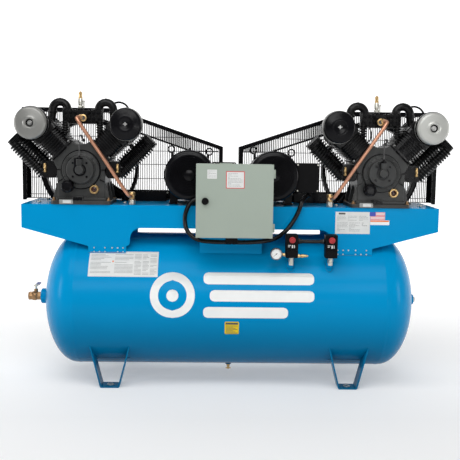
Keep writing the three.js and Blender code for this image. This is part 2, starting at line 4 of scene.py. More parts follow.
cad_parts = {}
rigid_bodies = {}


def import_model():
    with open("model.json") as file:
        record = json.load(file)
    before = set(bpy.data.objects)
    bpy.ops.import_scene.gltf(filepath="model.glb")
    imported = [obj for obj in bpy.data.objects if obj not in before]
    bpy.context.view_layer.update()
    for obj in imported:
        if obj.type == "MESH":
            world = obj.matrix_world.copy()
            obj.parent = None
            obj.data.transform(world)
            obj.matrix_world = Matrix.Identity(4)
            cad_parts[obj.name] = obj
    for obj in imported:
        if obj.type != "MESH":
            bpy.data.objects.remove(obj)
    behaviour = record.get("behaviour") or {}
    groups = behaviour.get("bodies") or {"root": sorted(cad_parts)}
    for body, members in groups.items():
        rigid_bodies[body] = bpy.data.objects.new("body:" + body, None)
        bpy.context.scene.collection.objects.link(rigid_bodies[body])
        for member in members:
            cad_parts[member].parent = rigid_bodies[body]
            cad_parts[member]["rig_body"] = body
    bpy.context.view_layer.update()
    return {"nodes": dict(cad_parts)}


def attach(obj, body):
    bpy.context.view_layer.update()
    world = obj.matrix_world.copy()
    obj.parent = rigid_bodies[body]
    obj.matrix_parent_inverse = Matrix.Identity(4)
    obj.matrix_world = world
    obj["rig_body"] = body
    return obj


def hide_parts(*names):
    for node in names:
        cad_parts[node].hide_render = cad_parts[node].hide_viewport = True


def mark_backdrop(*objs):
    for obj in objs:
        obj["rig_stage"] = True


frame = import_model()
NODES = frame["nodes"]
Y0 = 29.5                      # the receiver axis lies this far behind the row origin, mm
TZ, TR = 364.0, 304.0
DECK = 810.0
PUMP_X, CRANK_Z = 660.0, 963.0
MOTOR_X, MOTOR_Z = 186.0, 944.0
FLY_R, PUL_R = 226.0, 92.0


# ------------------------------------------------------------------ materials
def mk(name, col, rough=0.4, metal=0.0, spec=0.3, var=0.10, vscale=14.0, rvar=0.10, bump=0.08, bscale=380.0, coat=0.0, coat_rough=0.12, dirt=None, dirt_amt=0.25, dirt_scale=5.0, dist=0.0006, aniso=None):
    m = bpy.data.materials.new(name)
    m.use_nodes = True
    nt = m.node_tree
    N, L = nt.nodes, nt.links
    p = N["Principled BSDF"]
    p.inputs["Metallic"].default_value = metal
    p.inputs["Specular IOR Level"].default_value = spec
    p.inputs["Coat Weight"].default_value = coat
    p.inputs["Coat Roughness"].default_value = coat_rough
    tc = N.new("ShaderNodeTexCoord")
    mp = N.new("ShaderNodeMapping")
    L.new(tc.outputs["Object"], mp.inputs["Vector"])
    if aniso:
        mp.inputs["Scale"].default_value = aniso
    n1 = N.new("ShaderNodeTexNoise"); n1.inputs["Scale"].default_value = vscale; n1.inputs["Detail"].default_value = 6
    L.new(mp.outputs["Vector"], n1.inputs["Vector"])
    r1 = N.new("ShaderNodeValToRGB")
    r1.color_ramp.elements[0].position = 0.3; r1.color_ramp.elements[1].position = 0.72
    lo = [max(0, c * (1 - var)) for c in col]; hi = [min(1, c * (1 + var)) for c in col]
    r1.color_ramp.elements[0].color = (*lo, 1); r1.color_ramp.elements[1].color = (*hi, 1)
    L.new(n1.outputs["Fac"], r1.inputs["Fac"])
    out = r1.outputs["Color"]
    if dirt:
        n3 = N.new("ShaderNodeTexNoise"); n3.inputs["Scale"].default_value = dirt_scale; n3.inputs["Detail"].default_value = 9; n3.inputs["Roughness"].default_value = 0.7
        L.new(mp.outputs["Vector"], n3.inputs["Vector"])
        r3 = N.new("ShaderNodeValToRGB"); r3.color_ramp.elements[0].position = 0.52; r3.color_ramp.elements[1].position = 0.78
        r3.color_ramp.elements[1].color = (dirt_amt, dirt_amt, dirt_amt, 1)
        L.new(n3.outputs["Fac"], r3.inputs["Fac"])
        mx = N.new("ShaderNodeMix"); mx.data_type = "RGBA"
        L.new(r3.outputs["Color"], mx.inputs["Factor"]); L.new(out, mx.inputs[6]); mx.inputs[7].default_value = (*dirt, 1)
        out = mx.outputs[2]
    L.new(out, p.inputs["Base Color"])
    n2 = N.new("ShaderNodeTexNoise"); n2.inputs["Scale"].default_value = bscale; n2.inputs["Detail"].default_value = 3
    L.new(mp.outputs["Vector"], n2.inputs["Vector"])
    mr = N.new("ShaderNodeMapRange"); mr.inputs["To Min"].default_value = max(0.02, rough - rvar); mr.inputs["To Max"].default_value = min(1, rough + rvar)
    L.new(n1.outputs["Fac"], mr.inputs["Value"]); L.new(mr.outputs["Result"], p.inputs["Roughness"])
    b = N.new("ShaderNodeBump"); b.inputs["Strength"].default_value = bump; b.inputs["Distance"].default_value = dist
    L.new(n2.outputs["Fac"], b.inputs["Height"]); L.new(b.outputs["Normal"], p.inputs["Normal"])
    return m


M = {
    "blue": mk("blue_paint", (0.0, 0.258, 0.545), 0.22, spec=0.055, var=0.025, vscale=3.0, rvar=0.03, bump=0.05, bscale=900, dist=0.0002),
    "bluedk": mk("blue_weld", (0.0, 0.20, 0.42), 0.40, spec=0.25, var=0.12, vscale=60, bump=0.5, bscale=260),
    "iron": mk("pump_iron", (0.034, 0.035, 0.0345), 0.33, spec=0.30, var=0.22, vscale=22, bump=0.35, bscale=620, dirt=(0.10, 0.10, 0.095), dirt_amt=0.3, dirt_scale=9),
    "fin": mk("fin_iron", (0.005, 0.005, 0.0055), 0.24, spec=0.34, var=0.25, vscale=30, bump=0.3, bscale=500),
    "black": mk("black_enamel", (0.003, 0.003, 0.004), 0.22, spec=0.13, var=0.25, vscale=18, bump=0.12, bscale=700),
    "blackrough": mk("black_cast", (0.0035, 0.0035, 0.004), 0.28, spec=0.22, var=0.3, vscale=26, bump=0.5, bscale=520),
    "motor": mk("motor_black", (0.003, 0.003, 0.004), 0.20, spec=0.16, var=0.3, vscale=20, bump=0.3, bscale=600),
    "hose": mk("hose_black", (0.003, 0.003, 0.0035), 0.20, spec=0.26, var=0.2, vscale=30, bump=0.2, bscale=800),
    "rubber": mk("belt_rubber", (0.010, 0.010, 0.010), 0.7, spec=0.12, var=0.2, vscale=60, bump=0.5, bscale=900),
    # painted reflection: a lighter copy of the filter silver stands for the softbox reflection on the right-hand outer
    # dome, and the darker silver below stands for the shaded left-hand dome
    "silver_lit": mk("filter_silver_lit_copy", (0.47, 0.475, 0.45), 0.40, metal=0.45, spec=0.35, var=0.05, vscale=10, bump=0.06, bscale=900),
    "silver": mk("filter_silver", (0.24, 0.24, 0.228), 0.36, metal=0.50, spec=0.35, var=0.05, vscale=10, bump=0.06, bscale=900),
    "steel": mk("bare_steel", (0.50, 0.50, 0.49), 0.30, metal=0.95, var=0.12, vscale=50, bump=0.15, bscale=900),
    "zinc": mk("zinc_plate", (0.62, 0.61, 0.55), 0.34, metal=0.85, var=0.15, vscale=90, bump=0.15, bscale=900),
    "brassdk": mk("brass_cast", (0.34, 0.20, 0.10), 0.38, metal=0.8, var=0.2, vscale=50, bump=0.3, bscale=600),
    "steeldk": mk("oil_line_steel", (0.075, 0.075, 0.076), 0.34, metal=0.4, var=0.12, vscale=50, bump=0.1, bscale=700),
    "brass": mk("brass", (0.62, 0.42, 0.19), 0.30, metal=0.9, var=0.15, vscale=60, bump=0.15, bscale=800),
    "copper": mk("copper", (0.56, 0.28, 0.18), 0.32, metal=0.78, spec=0.4, var=0.10, vscale=18, bump=0.06, bscale=700, dirt=(0.40, 0.20, 0.13), dirt_amt=0.4, dirt_scale=14),
    "grey": mk("grey_enamel", (0.325, 0.375, 0.325), 0.48, spec=0.12, var=0.025, vscale=5, bump=0.10, bscale=800),
    "plastic": mk("black_plastic", (0.0035, 0.0035, 0.004), 0.42, spec=0.09, var=0.2, vscale=40, bump=0.4, bscale=900),
    "red": mk("red_plastic", (0.42, 0.025, 0.028), 0.38, spec=0.4, var=0.1, vscale=40, bump=0.1, bscale=700),
    "bluelever": mk("blue_lever", (0.02, 0.06, 0.26), 0.35, spec=0.45, var=0.1, vscale=40, bump=0.1, bscale=700),
    "paper": mk("label_paper", (0.66, 0.67, 0.66), 0.5, spec=0.25, var=0.04, vscale=40, bump=0.03, bscale=900),
    "white": mk("white_print", (0.80, 0.81, 0.80), 0.4, spec=0.25, var=0.02, vscale=20, bump=0.03, bscale=900),
    "ink": mk("label_ink", (0.10, 0.10, 0.10), 0.6, spec=0.2, var=0.3, vscale=300, bump=0.02, bscale=900),
    "inklight": mk("label_ink_light", (0.32, 0.33, 0.33), 0.6, spec=0.2, var=0.2, vscale=300, bump=0.02, bscale=900),
    "yellow": mk("label_yellow", (0.72, 0.52, 0.015), 0.45, spec=0.25, var=0.05, vscale=60, bump=0.03, bscale=900),
    "orange": mk("label_orange", (0.80, 0.20, 0.05), 0.45, spec=0.25, var=0.05, vscale=60, bump=0.03, bscale=900),
    "redline": mk("label_red", (0.62, 0.07, 0.07), 0.45, spec=0.25, var=0.05, vscale=60, bump=0.03, bscale=900),
    "pink": mk("label_pink", (0.72, 0.30, 0.32), 0.45, spec=0.25, var=0.05, vscale=60, bump=0.03, bscale=900),
    "navy": mk("label_blue", (0.07, 0.09, 0.42), 0.45, spec=0.25, var=0.05, vscale=60, bump=0.03, bscale=900),
    "sight": mk("sight_glass", (0.035, 0.008, 0.006), 0.12, spec=0.6, var=0.3, vscale=120, bump=0.02, bscale=500),
    "plate": mk("name_plate", (0.33, 0.34, 0.33), 0.40, metal=0.5, var=0.06, vscale=60, bump=0.05, bscale=900),
}


def paint_low_shade(m, z0, z1, low):
    # painted shade: the base colour is multiplied darker from height z1 down to z0, metres, standing for the shade low
    # on the tank and deck
    nt = m.node_tree
    N, L = nt.nodes, nt.links
    p = N["Principled BSDF"]
    src = p.inputs["Base Color"].links[0].from_socket
    g = N.new("ShaderNodeNewGeometry"); sp = N.new("ShaderNodeSeparateXYZ"); mr = N.new("ShaderNodeMapRange"); mx = N.new("ShaderNodeMix")
    mr.inputs["From Min"].default_value = z0; mr.inputs["From Max"].default_value = z1
    mr.inputs["To Min"].default_value = low; mr.inputs["To Max"].default_value = 1.0
    mr.interpolation_type = "SMOOTHSTEP"
    mx.data_type = "RGBA"; mx.blend_type = "MULTIPLY"; mx.inputs["Factor"].default_value = 1.0
    cb = N.new("ShaderNodeCombineColor")
    L.new(g.outputs["Position"], sp.inputs["Vector"]); L.new(sp.outputs["Z"], mr.inputs["Value"])
    for k in ("Red", "Green", "Blue"): L.new(mr.outputs["Result"], cb.inputs[k])
    L.new(src, mx.inputs[6]); L.new(cb.outputs["Color"], mx.inputs[7]); L.new(mx.outputs[2], p.inputs["Base Color"])


# painted shade on the blue paint and its weld beads, darker towards the bottom
paint_low_shade(M["blue"], 0.02, 0.46, 0.40)
paint_low_shade(M["bluedk"], 0.02, 0.46, 0.40)


# ------------------------------------------------------------------ mesh builder (mm, receiver axis on Y = 0)
class B:
    def __init__(self):
        self.v, self.f = [], []
        self.T = Matrix.Identity(4)

    def at(self, x=0, y=0, z=0, ry=0.0, rx=0.0, rz=0.0):
        self.T = Matrix.Translation((x, y, z)) @ Matrix.Rotation(ry, 4, "Y") @ Matrix.Rotation(rz, 4, "Z") @ Matrix.Rotation(rx, 4, "X")
        return self

    def put(self, verts, faces):
        b = len(self.v)
        self.v += [self.T @ Vector(p) for p in verts]
        self.f += [[i + b for i in f] for f in faces]
        return self

    def box(self, x0, x1, y0, y1, z0, z1):
        P = [(x, y, z) for x in (x0, x1) for y in (y0, y1) for z in (z0, z1)]
        return self.put(P, [(0, 1, 3, 2), (4, 6, 7, 5), (0, 4, 5, 1), (2, 3, 7, 6), (0, 2, 6, 4), (1, 5, 7, 3)])

    def loft(self, rings, caps=True, close=False):
        n = len(rings[0]); P = [p for r in rings for p in r]; F = []
        m = len(rings)
        for k in range(m if close else m - 1):
            a, b = k * n, ((k + 1) % m) * n
            for i in range(n):
                j = (i + 1) % n
                F.append((a + i, a + j, b + j, b + i))
        if caps and not close:
            F.append(tuple(range(n - 1, -1, -1))); F.append(tuple((m - 1) * n + i for i in range(n)))
        return self.put(P, F)

    # profile [(radius, height)], turned about an axis through c; first and last at radius 0 are poles
    def lathe(self, prof, axis="Y", c=(0, 0, 0), n=48, a0=0.0):
        P, F = [], []
        def at(r, h, a):
            u, w = r * math.cos(a), r * math.sin(a)
            return {"Y": (c[0] + u, c[1] + h, c[2] + w), "X": (c[0] + h, c[1] + u, c[2] + w), "Z": (c[0] + u, c[1] + w, c[2] + h)}[axis]
        idx = []
        for r, h in prof:
            if r < 1e-6:
                idx.append([len(P)] * n); P.append(at(0, h, 0))
            else:
                idx.append([len(P) + i for i in range(n)])
                P += [at(r, h, a0 + 2 * math.pi * i / n) for i in range(n)]
        for k in range(len(prof) - 1):
            A, C = idx[k], idx[k + 1]
            for i in range(n):
                j = (i + 1) % n
                f = [A[i], A[j], C[j], C[i]]
                g = []
                for q in f:
                    if q not in g: g.append(q)
                if len(g) > 2: F.append(tuple(g))
        if prof[0][0] > 1e-6 and prof[0] != prof[-1]: F.append(tuple(reversed(idx[0])))
        if prof[-1][0] > 1e-6 and prof[0] != prof[-1]: F.append(tuple(idx[-1]))
        return self.put(P, F)

    def cyl(self, axis, c, r, h0, h1, n=32, ch=0.0, a0=0.0):
        if ch:
            return self.lathe([(0, h0), (r - ch, h0), (r, h0 + ch), (r, h1 - ch), (r - ch, h1), (0, h1)], axis, c, n, a0)
        return self.lathe([(0, h0), (r, h0), (r, h1), (0, h1)], axis, c, n, a0)

    def ring(self, axis, c, r0, r1, h0, h1, n=48):
        return self.lathe([(r0, h0), (r1, h0), (r1, h1), (r0, h1), (r0, h0)], axis, c, n)

    def hexb(self, axis, c, r, h0, h1, a0=0.0):
        d = 0.12 * (h1 - h0) if h1 > h0 else 0
        return self.lathe([(0, h0), (r * 0.93, h0), (r, h0 + d), (r, h1 - d), (r * 0.93, h1), (0, h1)], axis, c, 6, a0)

    def tube(self, pts, r, n=14, caps=True, smooth=6):
        path = spline(pts, smooth) if smooth else [Vector(p) for p in pts]
        rings = []
        t0 = (path[1] - path[0]).normalized()
        ref = Vector((0, 0, 1)) if abs(t0.z) < 0.9 else Vector((1, 0, 0))
        u = t0.cross(ref).normalized()
        for i, p in enumerate(path):
            t = (path[min(i + 1, len(path) - 1)] - path[max(i - 1, 0)]).normalized()
            u = (u - t * u.dot(t)).normalized()
            w = t.cross(u)
            rr = r(i / (len(path) - 1)) if callable(r) else r
            rings.append([p + u * (rr * math.cos(2 * math.pi * k / n)) + w * (rr * math.sin(2 * math.pi * k / n)) for k in range(n)])
        return self.loft(rings, caps)

    def torus(self, c, R, r, axis="Y", n=28, m=10, a0=0.0, a1=2 * math.pi):
        rings = []
        full = abs(a1 - a0 - 2 * math.pi) < 1e-6
        k = n if full else n + 1
        for i in range(k):
            a = a0 + (a1 - a0) * i / n
            row = []
            for j in range(m):
                b = 2 * math.pi * j / m
                q, h = R + r * math.cos(b), r * math.sin(b)
                u, w = q * math.cos(a), q * math.sin(a)
                row.append({"Y": (c[0] + u, c[1] + h, c[2] + w), "X": (c[0] + h, c[1] + u, c[2] + w), "Z": (c[0] + u, c[1] + w, c[2] + h)}[axis])
            rings.append(row)
        return self.loft(rings, not full, full)

    # polygon [(x, z)] swept y0..y1 ; polygon [(x, y)] swept z0..z1
    def plateY(self, poly, y0, y1):
        return self.loft([[(x, y0, z) for x, z in poly], [(x, y1, z) for x, z in poly]])

    def slabZ(self, poly, z0, z1):
        return self.loft([[(x, y, z0) for x, y in poly], [(x, y, z1) for x, y in poly]])

    def bandY(self, outer, inner, y0, y1):   # frame between two outlines with the same point count
        n = len(outer); P = [(x, y, z) for y in (y0, y1) for ol in (outer, inner) for x, z in ol]; F = []
        for i in range(n):
            j = (i + 1) % n
            F += [(i, j, 2 * n + j, 2 * n + i), (n + j, n + i, 3 * n + i, 3 * n + j), (j, i, n + i, n + j), (2 * n + i, 2 * n + j, 3 * n + j, 3 * n + i)]
        return self.put(P, F)

    def obj(self, name, mat, body="base", bevel=0.0, seg=2, angle=32, slot=None, rep=()):
        me = bpy.data.meshes.new(name)
        me.from_pydata([(v[0] / 1000, (v[1] + Y0) / 1000, v[2] / 1000) for v in self.v], [], self.f)
        me.validate()
        o = bpy.data.objects.new(name, me)
        bpy.context.scene.collection.objects.link(o)
        return dress(o, mat, body, bevel, seg, angle, rep, recalc=True)


def dress(o, mat, body=None, bevel=0.0, seg=2, angle=32, rep=(), recalc=False):
    me = o.data
    if recalc:
        import bmesh
        bm = bmesh.new(); bm.from_mesh(me)
        bmesh.ops.recalc_face_normals(bm, faces=bm.faces)
        bm.to_mesh(me); bm.free()
    me.polygons.foreach_set("use_smooth", [True] * len(me.polygons))
    me.set_sharp_from_angle(angle=math.radians(angle))
    me.materials.clear(); me.materials.append(M[mat])
    if bevel:
        b = o.modifiers.new("edge", "BEVEL"); b.width = bevel / 1000; b.segments = seg; b.limit_method = "ANGLE"; b.angle_limit = math.radians(38); b.harden_normals = True; b.use_clamp_overlap = True
    if body and "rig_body" not in o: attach(o, body)
    if rep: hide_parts(*rep)
    return o


def spline(pts, sub=6):
    P = [Vector(p) for p in pts]
    if len(P) < 3: return P
    Q = [P[0] * 2 - P[1]] + P + [P[-1] * 2 - P[-2]]
    out = []
    for i in range(1, len(Q) - 2):
        a, b, c, d = Q[i - 1], Q[i], Q[i + 1], Q[i + 2]
        for k in range(sub):
            t = k / sub
            out.append(0.5 * ((2 * b) + (c - a) * t + (2 * a - 5 * b + 4 * c - d) * t * t + (3 * b - a - 3 * c + d) * t ** 3))
    out.append(P[-1])
    return out


def rrect(x0, x1, y0, y1, r, k=5):
    out = []
    for cx, cy, a in ((x1 - r, y1 - r, 0), (x0 + r, y1 - r, 90), (x0 + r, y0 + r, 180), (x1 - r, y0 + r, 270)):
        for i in range(k + 1):
            t = math.radians(a + 90 * i / k)
            out.append((cx + r * math.cos(t), cy + r * math.sin(t)))
    return out


def circ(x, z, r, n=32, a0=0.0):
    return [(x + r * math.cos(a0 + 2 * math.pi * i / n), z + r * math.sin(a0 + 2 * math.pi * i / n)) for i in range(n)]


S45 = math.pi / 4


# ------------------------------------------------------------------ air receiver
def tank():
    b = B()
    prof = [(0, -846.5)]
    for i in range(1, 21):
        t = math.pi / 2 * (1 - i / 20)
        prof.append((TR * math.cos(t), -694 - 152.5 * math.sin(t)))
    prof += [(TR, -690), (TR + 0.6, -688), (TR + 0.9, -683), (TR + 0.6, -678), (TR, -676)]
    prof += [(TR, x) for x in (-400, 0, 400)]
    prof += [(TR, 676), (TR + 0.6, 678), (TR + 0.9, 683), (TR + 0.6, 688), (TR, 690), (TR, 694)]
    for i in range(1, 20):
        t = math.pi / 2 * i / 20
        prof.append((TR * math.cos(t), 694 + 152.5 * math.sin(t)))
    prof.append((0, 846.5))
    b.lathe(prof, "X", (0, 0, TZ), 128)
    b.obj("tank_shell", "blue", angle=50, slot="blue_paint", rep=("air_receiver",))
    # couplings, bosses and their weld beads
    b = B()
    b.lathe([(14, -838), (12, -877), (32, -877), (35, -874), (35, -838)], "X", (0, 0, TZ), 40)
    b.lathe([(12.2, -852), (0, -852)], "X", (0, 0, TZ), 24)
    b.cyl("X", (0, 0, TZ), 24, 838, 868, 32, 2)
    b.lathe([(14, 46), (12, 46), (12, 70), (14, 70), (14, 46)], "Z", (0, 0, 0), 28)
    for x in (262, 433):
        b.cyl("Z", (x, -238, 0), 14, 548, 572, 28, 1.2)
    b.obj("tank_bosses", "blue", bevel=0.0, angle=40)
    b = B()
    b.torus((-845.5, 0, TZ), 35.5, 3.2, "X", 48, 8)
    b.torus((846, 0, TZ), 25, 3, "X", 40, 8)
    b.torus((0, 0, 61.5), 15, 2.6, "Z", 32, 8)
    for x in (262, 433):
        rings = []
        for i in range(32):
            a = 2 * math.pi * i / 32
            X, Y = 16 * math.cos(a), -238 + 16 * math.sin(a)
            Z = TZ + math.sqrt(TR * TR - Y * Y)
            rings.append([(x + X + 2.4 * math.cos(a) * math.cos(q), Y + 2.4 * math.sin(a) * math.cos(q), Z + 2.4 * math.sin(q)) for q in [2 * math.pi * k / 8 for k in range(8)]])
        b.loft(rings, False, True)
    # long seam along the back of the shell
    a = math.radians(62)
    rings = []
    for x in (-676, 676):
        rings.append([(x, (TR - 0.4 + 1.7 * math.cos(q)) * math.cos(a + 0.012 * math.sin(q)), TZ + (TR - 0.4 + 1.7 * math.cos(q)) * math.sin(a + 0.012 * math.sin(q))) for q in [2 * math.pi * k / 8 for k in range(8)]])
    b.loft(rings)
    b.obj("tank_welds", "bluedk", angle=60)
    b = B()
    b.hexb("X", (0, 0, TZ), 13, 868, 877)
    b.cyl("X", (0, 0, TZ), 7, 860, 869, 20)
    b.obj("tank_end_plug", "zinc", bevel=0.6)
    return


def weld_run(b, pts, r=3.0, step=5.0):
    # a beaded fillet along a path
    path = spline(pts, 10) if len(pts) > 2 else [Vector(pts[0]).lerp(Vector(pts[1]), i / 40) for i in range(41)]
    L = sum((path[i + 1] - path[i]).length for i in range(len(path) - 1))
    n = max(8, int(L / step) * 2)
    k = 0
    seg = [0.0]
    for i in range(len(path) - 1): seg.append(seg[-1] + (path[i + 1] - path[i]).length)
    out = []
    for j in range(n + 1):
        s = L * j / n
        while k < len(seg) - 2 and seg[k + 1] < s: k += 1
        t = (s - seg[k]) / max(1e-6, seg[k + 1] - seg[k])
        out.append(path[k].lerp(path[k + 1], t))
    rings = []
    for j, p in enumerate(out):
        t = (out[min(j + 1, n)] - out[max(j - 1, 0)]).normalized()
        ref = Vector((0, 1, 0)) if abs(t.y) < 0.9 else Vector((0, 0, 1))
        u = t.cross(ref).normalized(); w = t.cross(u)
        rr = r * (1.0 if j % 2 else 0.82)
        if j in (0, n): rr = r * 0.4
        rings.append([p + u * (rr * math.cos(2 * math.pi * q / 8)) + w * (rr * math.sin(2 * math.pi * q / 8)) for q in range(8)])
    b.loft(rings)
    return b


def on_tank(x, y, lift=0.0, top=True):
    z = math.sqrt(max(0, (TR + lift) ** 2 - y * y))
    return (x, y, TZ + z if top else TZ - z)


def base_details():
    b = B()
    for sx in (-1, 1):
        # saddle ends against the shell, front and back
        for y in (-194.5, 194.5):
            z = on_tank(0, y)[2]
            weld_run(b, [(sx * 462, y, z - 1), (sx * 630, y, z - 1)], 3.4)
    for sx in (-1, 1):
        for sy in (-1, 1):
            zb = on_tank(0, sy * 213.5, 0, False)[2]
            weld_run(b, [(sx * 530 - 86, sy * 181, on_tank(0, sy * 181, 0, False)[2] + 0.5), (sx * 530 + 86, sy * 181, on_tank(0, sy * 181, 0, False)[2] + 0.5)], 3.0)
    b.obj("weld_beads", "bluedk", angle=60)
    b = B()
    for sx in (-1, 1):
        for sy in (-1, 1):
            cx, cy = sx * 530, sy * 213.5
            b.ring("Z", (cx, cy, 0), 8.4, 16, 6.1, 8.4, 28)
    b.obj("foot_washers", "zinc", bevel=0.4)


for n in ("foot_front_left", "foot_front_right", "foot_rear_left", "foot_rear_right"):
    dress(NODES[n], "blue", bevel=1.2)
dress(NODES["base_frame"], "blue", bevel=1.8, seg=3, angle=30)
tank()
base_details()


# ------------------------------------------------------------------ pumps
def fin_slab(b, x0, x1, y0, y1, r, s0, s1, e=1.3, k=5):
    m = 0.28 * (s1 - s0)
    b.loft([[(x, y, s0) for x, y in rrect(x0 + e, x1 - e, y0 + e, y1 - e, r - e, k)],
            [(x, y, s0 + m) for x, y in rrect(x0, x1, y0, y1, r, k)],
            [(x, y, s1 - m) for x, y in rrect(x0, x1, y0, y1, r, k)],
            [(x, y, s1) for x, y in rrect(x0 + e, x1 - e, y0 + e, y1 - e, r - e, k)]])


def pump(side):
    pre = "left_" if side < 0 else "right_"
    cx = side * PUMP_X
    # crankcase
    b = B().at(cx, 0, CRANK_Z)
    out = [(-104, -126), (104, -126), (104, 0), (112, 14), (123.5, 39.2), (39.2, 123.5), (20, 112), (-20, 112), (-39.2, 123.5), (-123.5, 39.2), (-112, 14), (-104, 0)]
    b.plateY(out, -185, 25)
    b.obj(pre + "crankcase_body", "iron", bevel=5.5, seg=4, slot="pump_iron", rep=(pre + "crankcase",))
    b = B().at(cx, 0, CRANK_Z)
    b.slabZ(rrect(-131, 131, -200, 32, 12), -152.7, -136)
    b.slabZ(rrect(-112, 112, -192, 28, 10), -136, -122)
    # side ribs running down to the foot
    for sx in (-1, 1):
        for y in (-176, -80, 16):
            b.loft([[(sx * 100, y - 4, -60), (sx * 100, y + 4, -60), (sx * 108, y + 4, -60), (sx * 108, y - 4, -60)],
                    [(sx * 100, y - 6, -136), (sx * 100, y + 6, -136), (sx * 127, y + 6, -136), (sx * 127, y - 6, -136)]])
    # drain pad and plug on the front of the foot
    b.box(-36, 10, -202, -180, -136, -118)
    b.obj(pre + "crankcase_foot", "iron", bevel=2.2, seg=3)
    # front bearing cover
    b = B().at(cx, 0, CRANK_Z)
    b.lathe([(0, -184), (82, -184), (82, -197), (80, -200), (66, -200.5), (61, -203), (60, -219), (57, -222), (24, -223), (20, -226), (18, -243), (16, -245), (0, -245)], "Y", (0, 0, 0), 72)
    for i in range(8):
        a = S45 * i + S45 / 2
        x, z = 73 * math.cos(a), 73 * math.sin(a)
        b.at(cx + x, 0, CRANK_Z + z, ry=-a)
        b.box(-8, 8, -202.4, -199, -1.8, 1.8)
    b.at(cx, 0, CRANK_Z)
    b.lathe([(0, 24), (42, 24), (42, 36), (40, 38), (24, 38), (24, 30), (0, 30)], "Y", (0, 0, 0), 48)
    b.slabZ(rrect(-11, 11, -240, -215, 5), 0, 24)
    b.slabZ(rrect(-12.5, 12.5, -244, -220, 4), 23, 46)
    # raised panels either side, stepped at shaft height
    b.plateY([(-104, -4), (-104, -52), (-82, -42), (-88, -20), (-91, -4)], -190, -184)
    b.plateY([(91, -4), (88, -20), (80, -38), (104, -52), (104, -4)], -190, -184)
    b.obj(pre + "bearing_cover", "iron", bevel=1.2, angle=30)
    # painted shade: black rings and strips where the cover edges, the boss recess and the casting step fall into
    # shadow; the same object holds the four dark bolts on the disc and a dark plate and plug on the drain pad
    b = B().at(cx, 0, CRANK_Z)
    b.ring("Y", (0, 0, 0), 60.2, 65.5, -201.6, -200.2, 72)
    b.ring("Y", (0, 0, 0), 81.6, 86.5, -186.6, -184.6, 72)
    b.ring("Y", (0, 0, 0), 18.2, 27.5, -225.2, -222.4, 56)
    b.plateY([(-24, 14), (-13, 22), (-12.8, 50), (-24, 50)], -224.6, -222.6)
    b.plateY([(-12.8, 46.4), (14, 46.4), (14, 52), (-12.8, 52)], -224.6, -222.6)
    for sx in (-1, 1):
        x0, x1 = sorted((sx * 90, sx * 104))
        b.box(x0, x1, -190.2, -184.8, -3.6, 0.6)
        b.plateY([(sx * 104, -55.5), (sx * 82, -45.5), (sx * 82, -42.2), (sx * 104, -52.2)], -189, -184.6)
    for a in (0.78, 2.36, 3.92, 5.5):
        b.hexb("Y", (42 * math.cos(a), 0, 42 * math.sin(a)), 5, -226, -222.6, a0=a)
    b.box(-33, 7, -205, -199, -134, -120)
    b.hexb("Y", (-13, 0, -127), 8, -209, -204)
    b.obj(pre + "case_shade_and_bolts", "black", bevel=0.4)
    b = B().at(cx, 0, CRANK_Z)
    for i in range(4):
        a = S45 + math.pi / 2 * i
        x, z = 73.5 * math.cos(a), 73.5 * math.sin(a)
        b.hexb("Y", (x, 0, z), 5, -204.5, -200, a0=0.3 * i)
        b.ring("Y", (x, 0, z), 4, 6.5, -201.4, -199.9, 20)
    b.obj(pre + "cover_bolts", "iron", bevel=0.4)
    b = B().at(cx, 0, CRANK_Z)
    for sx in (-1, 1):
        for y in (-186, 18):
            b.hexb("Z", (sx * 120, y, 0), 6, -134, -128.5, a0=0.4 * sx)
            b.ring("Z", (sx * 120, y, 0), 5, 10.5, -136.2, -133.8, 20)
            b.cyl("Z", (sx * 120, y, 0), 4.2, -128, -122, 16)
    b.obj(pre + "case_bolts", "brassdk", bevel=0.4)
    # oil filter, with its grip ribs
    b = B().at(cx - 54, 0, CRANK_Z - 73)
    b.lathe([(0, -183), (22, -183), (22, -190), (26, -192), (26, -236), (22, -242), (16, -243), (15, -240), (0, -239.5)], "Y", (0, 0, 0), 40)
    for i in range(14):
        a = 2 * math.pi * i / 14
        b.at(cx - 54, 0, CRANK_Z - 73, ry=-a)
        b.box(24.5, 27.6, -233, -203, -1.7, 1.7)
    b.obj(pre + "oil_filter", "motor", bevel=0.6, angle=35)
    # sight glass
    b = B().at(cx + 57, 0, CRANK_Z - 86)
    b.lathe([(12, -184), (20.4, -184), (20.4, -191), (19.4, -193), (19, -196), (17.8, -197.6), (13.4, -197.6), (12, -195), (12, -184)], "Y", (0, 0, 0), 48)
    for i in range(6):
        a = math.pi / 3 * i
        b.at(cx + 57, 0, CRANK_Z - 86, ry=-a)
        b.box(15, 21.0, -190, -186, -5.5, 5.5)
    b.obj(pre + "sight_glass_rim", "brass", bevel=0.6)
    b = B().at(cx + 57, 0, CRANK_Z - 86)
    b.lathe([(0, -193), (9, -192.4), (12.2, -190.5), (12.2, -184), (0, -184)], "Y", (0, 0, 0), 32)
    b.obj(pre + "sight_glass_lens", "sight", angle=45)
    # oil line with its fitting
    b = B().at(cx, 0, CRANK_Z)
    b.tube([(0, -232, 50), (0, -232, 66), (0, -232, 100), (0, -232, 128), (1, -231.5, 142), (5, -230, 149), (10, -228, 149), (12, -227, 140), (12, -214, 131), (12, -190, 126)], 2.4, 12)
    b.obj(pre + "oil_line", "steeldk", angle=60)
    b = B().at(cx, 0, CRANK_Z)
    b.hexb("Z", (0, -232, 0), 9.5, 46, 54)
    b.cyl("Z", (0, -232, 0), 5, 54, 62, 20, 1)
    b.hexb("Y", (12, 0, 128), 8, -192, -184)
    b.obj(pre + "oil_line_fittings", "black", bevel=0.5)
